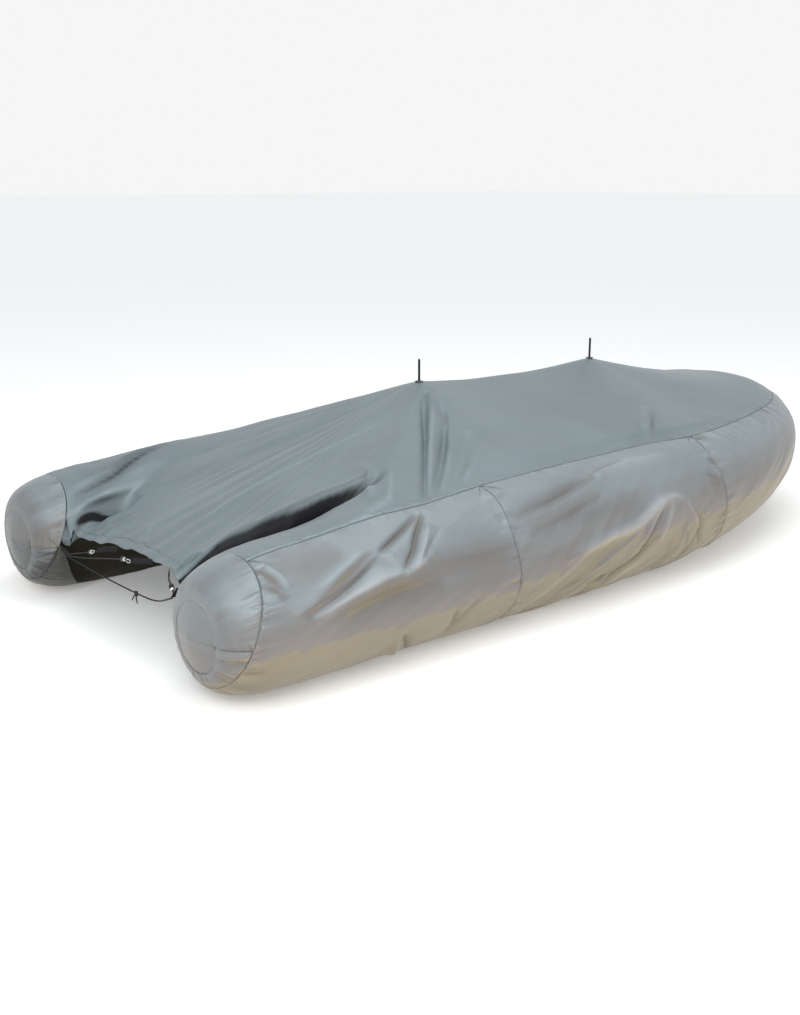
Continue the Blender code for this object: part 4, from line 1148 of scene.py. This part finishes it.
# Painted shade: the cloth near each nose is coloured darker, the port end more.
END_SHADE = {False: 0.12, True: 0.30}  # how much darker the starboard and the port end are
END_REACH = 0.06
for half, upper in (("upper", True), ("lower", False)):
    for label, to_port, seed in (("starboard", False, 700), ("port", True, 760)):
        points, first, second, seam, shade = cap(upper, seed + 20 * upper)
        if to_port:
            points = points * TO_PORT
        name = f"cap_{half}_{label}"
        ring = slice(1, RING_STITCHED if upper else -1)
        lines = [(np.s_[0, ring], np.s_[1, ring])]
        if upper:
            lines.append((np.s_[1:LEVEL_STITCHED, 0], np.s_[1:LEVEL_STITCHED, 1]))
        note_row("cap_stitches", points, upper != to_port, *lines)
        near_end = np.clip(END_REACH - first, 0.0, END_REACH) / END_REACH
        piece = sheet_object(
            name + "_cloth", points, first, second, seam,
            shaded if to_port and not upper else silver, flip=upper != to_port,
            shade=shade - END_SHADE[to_port] * near_end)
        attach(piece, "root")
        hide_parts(name)


# ---- Deck -----------------------------------------------------------------------------------
# The top panel, of a greyer cloth. Two poles hold it up as a tent. Aft of them it falls in a
# fan of folds to a loose flap over the stern, and ahead it is drawn tight to the bow seam.
AFT_POLE_X = 1.334
FWD_POLE_X = 2.277
AFT_PEAK = 0.695
FWD_PEAK = 0.696
RIDGE_SAG = 0.022
RIDGE_ROUND = 0.012  # how wide the cloth bends over the ridge
FRONT_SAG = 0.016
# Height of the flap's free edge, by distance from the middle.
FLAP_EDGE = (
    (-0.490, 0.300), (-0.400, 0.292), (-0.370, 0.300), (-0.240, 0.299), (-0.060, 0.296),
    (0.102, 0.284), (0.200, 0.264), (0.326, 0.250), (0.490, 0.262),
)
FLAP_EDGE_X = 0.100
FLAP_HALF_WIDTH = 0.405
HEM_WIDTH = 0.035
LOWER_EASE = 0.012  # how softly the lower of two sheets takes over from the other
UPPER_EASE = 0.014  # and the higher of tube and tent
RIM = 0.07  # how far from a seam the deck's own folds begin
PINNED = 0.035  # how far from the ring seam the deck is held to the tube
HEM_STEP = 0.0016  # the hem is doubled
FAN_SHARE = 0.66  # the share of the grid lines, from the middle, that fan out from the pole
# Ridges of the flap: direction from the aft pole, height at the free edge, width.
FAN = (
    (0.245, 0.014, 0.028), (0.172, 0.016, 0.021), (0.100, 0.010, 0.034), (0.035, 0.018, 0.025),
    (-0.045, 0.012, 0.038), (-0.122, 0.017, 0.022), (-0.190, 0.010, 0.034),
    (-0.252, 0.012, 0.018),
)
# The hollow between the flap and the starboard tube. Each row is the distance from the stern,
# its middle's place from side to side, its half width, its depth, how high the slack cloth
# rolls beside it, how far that roll leans over it, and how much shade is painted inside it.
HOLLOW = (
    (0.02, -0.392, 0.030, 0.080, 0.000, 0.000, 1.00),
    (0.12, -0.392, 0.030, 0.088, 0.000, 0.000, 1.00),
    (0.20, -0.394, 0.034, 0.095, 0.016, 0.022, 1.00),
    (0.30, -0.388, 0.046, 0.095, 0.014, 0.030, 1.00),
    (0.40, -0.392, 0.050, 0.095, 0.012, 0.030, 1.00),
    (0.50, -0.420, 0.042, 0.085, 0.012, 0.024, 0.92),
    (0.60, -0.432, 0.040, 0.060, 0.010, 0.016, 0.80),
    (0.70, -0.452, 0.032, 0.034, 0.006, 0.008, 0.62),
    (0.77, -0.452, 0.024, 0.016, 0.002, 0.000, 0.35),
    (0.82, -0.450, 0.022, 0.000, 0.000, 0.000, 0.00),
)
# The valley beside the port tube and the roll along it: points as (distance from the stern,
# side to side), height, width, lean.
VALLEYS = (
    (((0.36, 0.372), (0.29, 0.372), (0.18, 0.396), (-0.02, 0.400)), -0.052, 0.020, 0.0),
    (((0.44, 0.330), (0.28, 0.350), (0.12, 0.355), (-0.02, 0.355)), 0.011, 0.022, 0.0),
)
# Painted highlights on crests that shine and painted shade in creases, as VALLEYS, with a
# strength for height. The first row paints the far tube's top darker.
DECK_SHADES = (
    (((0.20, 0.62), (0.60, 0.66), (1.15, 0.68)), -0.28, 0.100, 0.0),
    (((1.09, -0.14), (0.73, -0.09), (0.43, -0.09), (0.32, -0.11)), 0.30, 0.006, 0.0),
    (((0.72, -0.445), (0.71, -0.480), (0.69, -0.510)), 0.90, 0.009, 0.0),
    (((0.83, -0.44), (0.79, -0.50), (0.71, -0.59), (0.57, -0.64), (0.43, -0.67)), 0.30, 0.008,
     0.0),
    (((1.24, -0.18), (1.00, -0.44), (0.83, -0.63)), 0.35, 0.010, 0.0),
    (((1.30, -0.09), (1.07, -0.34), (0.78, -0.66)), -0.30, 0.006, 0.0),
    (((1.28, -0.16), (1.22, -0.26), (0.98, -0.50), (0.83, -0.63)), -0.15, 0.014, 0.0),
    (((0.25, -0.350), (0.16, -0.352), (0.09, -0.344)), 0.40, 0.007, 0.0),
    (((0.25, -0.372), (0.17, -0.376), (0.10, -0.366)), -0.95, 0.007, 0.0),
    (((0.20, -0.322), (0.14, -0.318), (0.09, -0.312)), -0.60, 0.006, 0.0),
    (((0.58, 0.610), (0.43, 0.556), (0.34, 0.508), (0.26, 0.484), (0.14, 0.457)), -0.80, 0.015,
     0.0),
    (((2.18, -0.38), (2.05, -0.48), (1.95, -0.59)), 0.25, 0.009, 0.0),
    (((2.17, -0.43), (2.02, -0.55)), -0.30, 0.009, 0.0),
)
# The folds of the whole deck, as VALLEYS.
DECK_FOLDS = (
    (((1.31, -0.060), (1.20, -0.180), (1.07, -0.340), (0.77, -0.680)), -0.028, 0.015, 0.3),
    (((1.31, -0.100), (1.16, -0.270), (1.02, -0.420), (0.82, -0.650)), 0.022, 0.014, 0.0),
    (((1.30, -0.150), (1.22, -0.280), (1.00, -0.500), (0.83, -0.640)), -0.026, 0.018, 0.0),
    (((1.28, -0.220), (1.11, -0.420), (0.90, -0.610)), 0.016, 0.016, 0.0),
    (((1.26, -0.340), (1.08, -0.510), (0.92, -0.630)), -0.015, 0.020, 0.0),
    (((1.33, -0.400), (1.15, -0.510), (0.98, -0.620)), 0.009, 0.018, 0.0),
    (((0.84, -0.43), (0.79, -0.50), (0.71, -0.585), (0.57, -0.635), (0.42, -0.665)),
     0.010, 0.011, 0.0),
    (((0.80, -0.33), (0.77, -0.41), (0.73, -0.45)), 0.010, 0.014, 0.0),
    (((0.73, -0.44), (0.70, -0.50), (0.66, -0.52)), 0.014, 0.014, 0.0),
    (((0.66, -0.52), (0.56, -0.53), (0.48, -0.535)), 0.006, 0.012, 0.0),
    (((0.64, 0.65), (0.52, 0.625), (0.43, 0.582), (0.35, 0.535), (0.26, 0.508), (0.14, 0.48)),
     0.013, 0.026, 0.0),
    (((0.60, 0.61), (0.50, 0.59), (0.42, 0.552), (0.34, 0.508), (0.25, 0.482), (0.13, 0.455)),
     -0.018, 0.026, 0.0),
    (((0.50, 0.530), (0.40, 0.500), (0.30, 0.462), (0.20, 0.440)), 0.008, 0.018, 0.0),
    (((0.34, 0.37), (0.24, 0.36), (0.12, 0.34)), -0.012, 0.014, 0.0),
    (((0.24, 0.10), (0.20, 0.03), (0.13, -0.08)), 0.005, 0.014, 0.0),
    (((0.26, 0.07), (0.21, 0.01), (0.15, -0.06)), -0.005, 0.010, 0.0),
    (((0.23, 0.37), (0.19, 0.29), (0.15, 0.16)), 0.006, 0.014, 0.0),
    (((0.28, -0.366), (0.20, -0.368), (0.09, -0.352)), 0.024, 0.010, 0.0),
    (((0.24, -0.338), (0.16, -0.336), (0.08, -0.328)), -0.014, 0.011, 0.0),
    (((0.21, -0.310), (0.14, -0.304), (0.08, -0.292)), 0.011, 0.010, 0.0),
    (((2.18, -0.38), (2.05, -0.48), (1.94, -0.60)), 0.007, 0.014, 0.0),
    (((2.17, -0.43), (2.02, -0.55)), -0.005, 0.012, 0.0),
)


def tube_top(x, y):
    """Height of the tube's upper side over a point of the plan, as a circle's over the nearest
    of every eighth point of the axis. It falls away steeply beyond the tube."""
    side = np.abs(y)
    knots = slice(None, None, 8)
    gap = np.hypot(x[..., None] - AXIS["x"][knots], side[..., None] - AXIS["y"][knots])
    nearest = gap.argmin(axis=-1)
    dx = x - AXIS["x"][knots][nearest]
    dy = side - AXIS["y"][knots][nearest]
    way_x = AXIS["tangent_x"][knots][nearest]
    way_y = AXIS["tangent_y"][knots][nearest]
    distance = AXIS["run"][knots][nearest] + dx * way_x + dy * way_y
    away = np.abs(dx * way_y - dy * way_x)
    distance = np.where(x < BOW_START, x, distance)
    away = np.where(x < BOW_START, np.abs(side - HALF_SPACING), away)
    radius = on_axis("radius", distance)
    part = away / radius
    round_top = radius * np.sqrt(np.clip(1.0 - part**2, 0.0, 1.0)) * on_axis("top", distance)
    return on_axis("z", distance) + round_top - 2.0 * np.clip(away - radius, 0.0, 1.0)


def eased(part):
    """From 0 to 1 with a level start and end: 3 part^2 - 2 part^3."""
    return part * part * (3.0 - 2.0 * part)


def ridge_height(x):
    """The line from pole top to pole top, sagging as a parabola."""
    part = np.clip((x - AFT_POLE_X) / (FWD_POLE_X - AFT_POLE_X), 0.0, 1.0)
    return AFT_PEAK + (FWD_PEAK - AFT_PEAK) * part - RIDGE_SAG * 4.0 * part * (1.0 - part)


def fan_strength(part):
    """The flap's ridges start at the pole, are highest past the middle and sink to the edge:
    part^1.2 (1 - 0.55 part^4)."""
    return np.clip(part, 0.0, 1.0) ** 1.2 * (1.0 - 0.55 * np.clip(part, 0.0, 1.0) ** 4)


def hollow(x, y):
    """Height, sideways move and painted shade of the slack cloth beside the starboard tube: a
    roll, exp(-square), next to a hollow with steep walls and a flat bottom, exp(-power 2.6).
    The table's values are blurred along the tube. The painted shade counts a narrow pocket
    beside the port tube too."""
    rows = np.array(HOLLOW)
    even = np.linspace(-0.1, 3.6, 371)
    blur = (0.1, 0.2, 0.4, 0.2, 0.1)
    middle, width, depth, roll, lean, dark = (
        np.interp(x, even, np.convolve(
            np.pad(np.interp(even, rows[:, 0], row), 2, mode="edge"), blur, mode="valid"))
        for row in rows[:, 1:].T)
    side = (y - middle) / width
    lift = roll * np.exp(-(((side - 1.5) / 0.8) ** 2)) - depth * np.exp(-np.abs(side) ** 2.6)
    bank = np.clip((1.95 - side) / np.clip(0.45 + 1.8 * (x - 0.2), 0.45, 1.0), 0.0, 1.0)
    # Painted shade down in the hollow and in the pocket beside the port tube.
    dark = dark * bank * np.clip((side + 0.80) / 0.30, 0.0, 1.0)
    pocket = (y - 0.396 + 0.25 * (x - 0.177)) / 0.005
    pocket = 0.95 * np.exp(-(pocket**2)) * np.clip((0.29 - x) / 0.04, 0.0, 1.0)
    return lift, lean * np.exp(-(((side - 1.0) / 0.7) ** 2)), 0.70 * (dark + pocket)


def tent_height(x, y):
    """The cloth stretched between the two pole tops, the tubes and the flap's edge. Amidships
    it is a straight line from ridge to tube. Aft it is the lower of two such sheets, to the
    tube and to the flap's edge, with the fan's ridges on the second. Ahead it is a cone from
    the pole's top to the bow seam, sagging as a parabola."""
    side = np.sqrt(y**2 + RIDGE_ROUND**2) - RIDGE_ROUND
    station = np.clip(x, 0.0, BOW_START)
    tube_z = on_axis("z", station) + TUBE_RADIUS
    middle = ridge_height(x) - (ridge_height(x) - tube_z) * side / HALF_SPACING

    behind = np.clip(AFT_POLE_X - x, 0.001, None)
    reach = AFT_POLE_X - FLAP_EDGE_X
    direction = y / behind
    landing = AFT_POLE_X - behind * HALF_SPACING / np.maximum(side, 0.01)
    landing = np.clip(landing, FLAP_EDGE_X, AFT_POLE_X)
    tube_z = on_axis("z", landing) + on_axis("radius", landing) * on_axis("top", landing)
    to_tube = AFT_PEAK - (AFT_PEAK - tube_z) * side / HALF_SPACING
    edge_z = from_table(FLAP_EDGE, direction * reach)
    to_edge = AFT_PEAK - (AFT_PEAK - edge_z) * behind / reach
    fan = np.full_like(x, -0.005)
    for ridge, height, width in FAN:
        fan += 0.65 * height * np.exp(-((np.abs(direction - ridge) / width) ** 1.9))
    fan += 0.006 * noise(direction, behind, 0.060, 1.4, 900)
    fan += 0.0018 * noise(direction, behind, 0.022, 0.8, 901)
    to_edge += fan * fan_strength(behind / reach)
    aft = 0.5 * (to_tube + to_edge - np.sqrt((to_tube - to_edge) ** 2 + LOWER_EASE**2))
    aft += 0.5 * LOWER_EASE * np.exp(-behind / 0.1) + folds(x, y, VALLEYS) + hollow(x, y)[0]
    # The flap's starboard corner hangs lower.
    aft -= 0.034 * np.exp(-(((x - 0.100) / 0.050) ** 2) - (((y + 0.365) / 0.045) ** 2))

    ahead = np.clip(x - FWD_POLE_X, 0.0, None)
    turn = np.arctan2(AXIS["y"], AXIS["x"] - FWD_POLE_X)
    ahead_rows = AXIS["x"] >= FWD_POLE_X
    order = np.argsort(turn[ahead_rows])
    turn = turn[ahead_rows][order]
    far = np.hypot(AXIS["y"], AXIS["x"] - FWD_POLE_X)[ahead_rows][order]
    high = (AXIS["z"] + AXIS["radius"] * AXIS["top"])[ahead_rows][order]
    heading = np.arctan2(np.abs(y), ahead + 1e-9)
    part = np.hypot(y, ahead) / np.interp(heading, turn, far)
    front = FWD_PEAK + (np.interp(heading, turn, high) - FWD_PEAK) * part
    front -= FRONT_SAG * 4.0 * np.clip(part * (1.0 - part), 0.0, None)
    wide = 0.030 + 0.60 * np.abs(y)
    share = np.clip(0.5 + (x - FWD_POLE_X) / (2.0 * wide), 0.0, 1.0)
    middle += (front - middle) * eased(share)
    wide = 0.015 + 0.30 * np.abs(y)
    share = np.clip(0.5 + (x - AFT_POLE_X) / (2.0 * wide), 0.0, 1.0)
    return aft + (middle - aft) * eased(share)


def deck_height(x, y, rim):
    """The higher of tube and tent, eased together, plus folds that fade out at the rim."""
    tube = tube_top(x, y)
    tent = tent_height(x, y)
    both = 0.5 * (tube + tent + np.sqrt((tube - tent) ** 2 + UPPER_EASE**2))
    calm = np.clip((x - AFT_POLE_X) / 0.4, 0.0, 1.0)
    slack = 0.0030 * noise(x, y, 0.22, 0.10, 910) * (1.0 - 0.6 * calm)
    slack += 0.0012 * noise(x + 0.5 * y, y, 0.10, 0.04, 911) * (1.0 - 0.5 * calm)
    for pole in (AFT_POLE_X, FWD_POLE_X):
        slack *= np.clip(np.hypot(x - pole, y) / 0.15, 0.0, 1.0)
    return tube + (both - tube + folds(x, y, DECK_FOLDS) + slack) * rim


RING_ANGLES = np.radians(np.linspace(78.6, 156.0, 24))
DECK_ROWS = 290
DECK_COLUMNS = 159


def plan_on_seam(distance):
    """Places on the deck seam: distance from the stern, side to side, and height."""
    return tube_point(distance, seam_angle(fold_back(distance))) - [STERN_X, 0.0, 0.0]


def gather_columns(x, y):
    """Moves grid lines so that they run with the folds, which fan out from the aft pole."""
    half = np.abs(y[:, :1])
    part = np.abs(y) / half
    behind = np.clip((AFT_POLE_X - x) / (AFT_POLE_X - FLAP_EDGE_X), 0.0, 1.0)
    ahead = np.clip((x - AFT_POLE_X) / 0.8, 0.0, 1.0)
    squeeze = 0.22 + 0.78 * np.maximum(behind, eased(ahead))
    inner = FAN_SHARE * squeeze
    moved = np.where(
        part < FAN_SHARE,
        part * squeeze,
        inner + (part - FAN_SHARE) * (1.0 - inner) / (1.0 - FAN_SHARE))
    return np.sign(y) * moved * half


def deck_points():
    """A grid between four borders: the seam to each side, the stern edge and the bow seam.
    Inside them, the plan is the sum of the two blends of opposite borders less the blend of
    the four corners, and deck_height is worked out over it. It returns the points, their
    distances from the nearest seam and along it, their painted highlights and shade, and the
    shade painted in the hollows."""
    first = float(aft_border(RING_ANGLES[0]))
    last = float(bow_border(math.radians(85.0)))
    stations = first + (last - first) * np.linspace(0.0, 1.0, DECK_ROWS) ** 1.3
    starboard = plan_on_seam(stations)[:, :2]
    port = starboard * [1.0, -1.0]
    ring = (tube_point(aft_border(RING_ANGLES), RING_ANGLES) - [STERN_X, 0.0, 0.0])[:, :2]
    ring[0] = starboard[0]
    across = np.linspace(-FLAP_HALF_WIDTH, FLAP_HALF_WIDTH, DECK_COLUMNS - 2 * len(ring))
    flap = np.stack([np.full_like(across, FLAP_EDGE_X), across], axis=-1)
    stern = np.concatenate([ring, flap, ring[::-1] * [1.0, -1.0]])
    round_bow = np.linspace(last, 2.0 * LENGTH - last, DECK_COLUMNS)
    bow_edge = plan_on_seam(round_bow)
    u = np.linspace(0.0, 1.0, DECK_ROWS)[:, None, None]
    v = np.linspace(0.0, 1.0, DECK_COLUMNS)[None, :, None]
    bow_plan = bow_edge[:, :2]
    plan = (1 - u) * stern[None] + u * bow_plan[None] + (1 - v) * starboard[:, None]
    plan = plan + v * port[:, None] - (1 - u) * (1 - v) * stern[0] - (1 - u) * v * stern[-1]
    plan = plan - u * (1 - v) * bow_plan[0] - u * v * bow_plan[-1]
    plan[..., 1] = gather_columns(plan[..., 0], plan[..., 1])
    dense = plan_on_seam(np.linspace(first, 2 * LENGTH - first, 400))[:, :2]
    gap = np.full(plan.shape[:2], FAR_OFF)
    for knot in dense:
        gap = np.minimum(gap, np.hypot(plan[..., 0] - knot[0], plan[..., 1] - knot[1]))
    rim = eased(np.clip(gap / RIM, 0.0, 1.0))
    height = deck_height(plan[..., 0], plan[..., 1], rim)
    over_tube = np.abs(plan[..., 1]) > FLAP_HALF_WIDTH
    from_ring = np.abs(plan[..., 0] - plan[:1, :, 0])
    pinned = np.exp(-((from_ring / PINNED) ** 2)) * over_tube
    height += (tube_top(plan[..., 0], plan[..., 1]) - height) * pinned
    # The hollow's painted shade comes out with its roll's lean.
    _, lean, hollow_shade = hollow(plan[..., 0], plan[..., 1])
    plan[..., 1] -= lean
    # The pocket beside the port tube leans over.
    x, y = np.moveaxis(plan, -1, 0)
    pocket = np.exp(-(((y - 0.44) / 0.025) ** 2 + ((x - 0.24) / 0.13) ** 2))
    plan[..., 1] -= 0.030 * pocket * (1.0 - pinned)
    along = plan[..., 0] + 0.3 * plan[..., 1]
    height += puckers(along, gap, 0.030, 0.0024, 0.040, 930)
    from_hem = np.clip(plan[..., 0] - FLAP_EDGE_X, 0.0, None) + 0.5 * over_tube
    height += HEM_STEP * (from_hem < HEM_WIDTH)
    scallop = noise(plan[..., 1], from_hem, 0.057, 0.2, 940)
    height += 0.0040 * scallop * np.exp(-from_hem / 0.040)
    height -= 0.0014 * np.exp(-(((from_hem - HEM_WIDTH) / 0.006) ** 2))
    height[:, 0] = plan_on_seam(stations)[:, 2]
    height[:, -1] = height[:, 0]
    height[-1] = bow_edge[:, 2]
    points = np.concatenate([plan, height[..., None]], axis=-1) + [STERN_X, 0.0, 0.0]
    shade = folds(plan[..., 0], plan[..., 1], DECK_SHADES)
    return points, np.stack([gap + 0.028, along], axis=-1), shade, hollow_shade


# Colour by facing: near black where the facing is low, painted shade in the hollows, and
# lighter and bluer where it faces the sky, painted light.
grey = cloth_look(
    "grey_coated_cloth",
    (
        (0.38, (0.006, 0.006, 0.007)),
        (0.70, (0.140, 0.169, 0.177)),
        (0.92, (0.184, 0.224, 0.236)),
        (1.00, (0.196, 0.238, 0.250)),
    ),
    metallic=0.40,
    roughness=0.42,
    sheen=0.05,
    specular=0.25,
)
points, seam, shade, hollow_shade = deck_points()
from_edge = points[:, DECK_COLUMNS // 2, 0] - STERN_X - FLAP_EDGE_X
hem_row = int(np.abs(from_edge - HEM_WIDTH).argmin())
inside = np.abs(points[hem_row, :, 1]) < FLAP_HALF_WIDTH - 0.045  # clear of the corners
note_row("hem_stitches", points, False, (np.s_[hem_row, inside], np.s_[hem_row + 1, inside]))
# Painted highlights and shade on the deck, and painted shade in its hollows.
deck = sheet_object(
    "deck_cloth", points, points[..., 0], points[..., 1], seam, grey, shade=shade, painted_hollow_shade=hollow_shade)
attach(deck, "root")
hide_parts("deck")


# ---- Ear of the flap ------------------------------------------------------------------------
# Slack cloth of the deck panel that hangs as a folded ear between the port tube's ring seam
# and the flap's corner, with a free edge at the bottom.
EAR_MIDDLE = (0.100, 0.400, 0.250)
# A coarse grid of points from top to bottom, in millimetres from that middle.
EAR = (
    ((18, 52, 72), (20, 25, 40), (18, 5, 12), (12, -16, 0)),
    ((-4, 40, 32), (-12, 24, 18), (10, 4, 0), (4, -20, -8)),
    ((-12, 33, 0), (-22, 20, -12), (6, 0, -24), (-2, -12, -22)),
    ((-14, 30, -22), (-16, 17, -40), (0, 5, -46), (2, -4, -36)),
)
EAR_GRID = (26, 34)


def smooth_grid(knots, rows, columns):
    """A smooth sheet through a coarse grid of points, made of the cords' cubics both ways."""
    coarse = np.array(knots)
    for axis, count in ((0, rows), (1, columns)):
        lines = np.moveaxis(coarse, axis, 0)
        padded = np.concatenate(
            [2 * lines[:1] - lines[1:2], lines, 2 * lines[-1:] - lines[-2:-1]])
        place = np.linspace(0.0, len(lines) - 1.0, count)
        i = np.minimum(place.astype(int), len(lines) - 2)
        t = (place - i).reshape((-1,) + (1,) * (lines.ndim - 1))
        coarse = np.moveaxis(cubic(*(padded[i + k] for k in range(4)), t), 0, axis)
    return coarse


points = smooth_grid(0.001 * np.array(EAR) + EAR_MIDDLE, *EAR_GRID) + [STERN_X, 0.0, 0.0]
no_seam = np.broadcast_to([0.1, 0.0], EAR_GRID + (2,))  # far from any, so without puckers
# The ear's colour is lifted a little towards the sky's: painted light.
ear = sheet_object(
    "deck_ear", points, points[..., 1], points[..., 2], no_seam, grey, flip=True, painted_hollow_shade=-0.15)
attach(ear, "root")


# ---- Stitches -------------------------------------------------------------------------------
# Rows of dark polyester thread, a lockstitch of about nine millimetres' pitch, beside the
# seams between the panels, round the caps and along the flap's hem.
thread = bump_look(
    "dark_thread", (0.075, 0.078, 0.080), 0.75, "ShaderNodeTexNoise", 0.3, 0.0002, Scale=900.0)
STITCH = (0.0062, 0.0011, 0.0006)  # length, width and height
SUNK = 0.3  # how high a stitch's middle lies over the cloth, as a share of its height
CORNERS = np.array([[a, b, c] for a in (-0.5, 0.5) for b in (-0.5, 0.5) for c in (-0.5, 0.5)])
SIDES = np.array([[0, 1, 3, 2], [4, 6, 7, 5], [0, 4, 5, 1], [2, 3, 7, 6], [0, 2, 6, 4],
                  [1, 5, 7, 3]])


def stitch_boxes(line, outward, pitch=0.0092):
    """Corners of small blocks set at even steps along a line, each as long as a stitch, turned
    with the line and lying on the cloth."""
    run = lengths_along(line)
    even = np.arange(0.5 * pitch, run[-1], pitch)
    way = unit(between(even, run, np.gradient(line, run, axis=0)))
    out = between(even, run, outward)
    out = unit(out - (out * way).sum(axis=1, keepdims=True) * way)
    axes = np.stack([way, np.cross(out, way), out], axis=1)
    middle = between(even, run, line) + out * STITCH[2] * SUNK
    return middle[:, None] + (CORNERS * STITCH) @ axes


for name, lines in seam_rows.items():
    boxes = np.concatenate([stitch_boxes(line, outward) for line, outward in lines])
    faces = SIDES[None] + len(CORNERS) * np.arange(len(boxes))[:, None, None]
    row = mesh_object(name, boxes, faces.reshape(-1, 4).tolist(), thread, smooth=False)
    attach(row, "root")
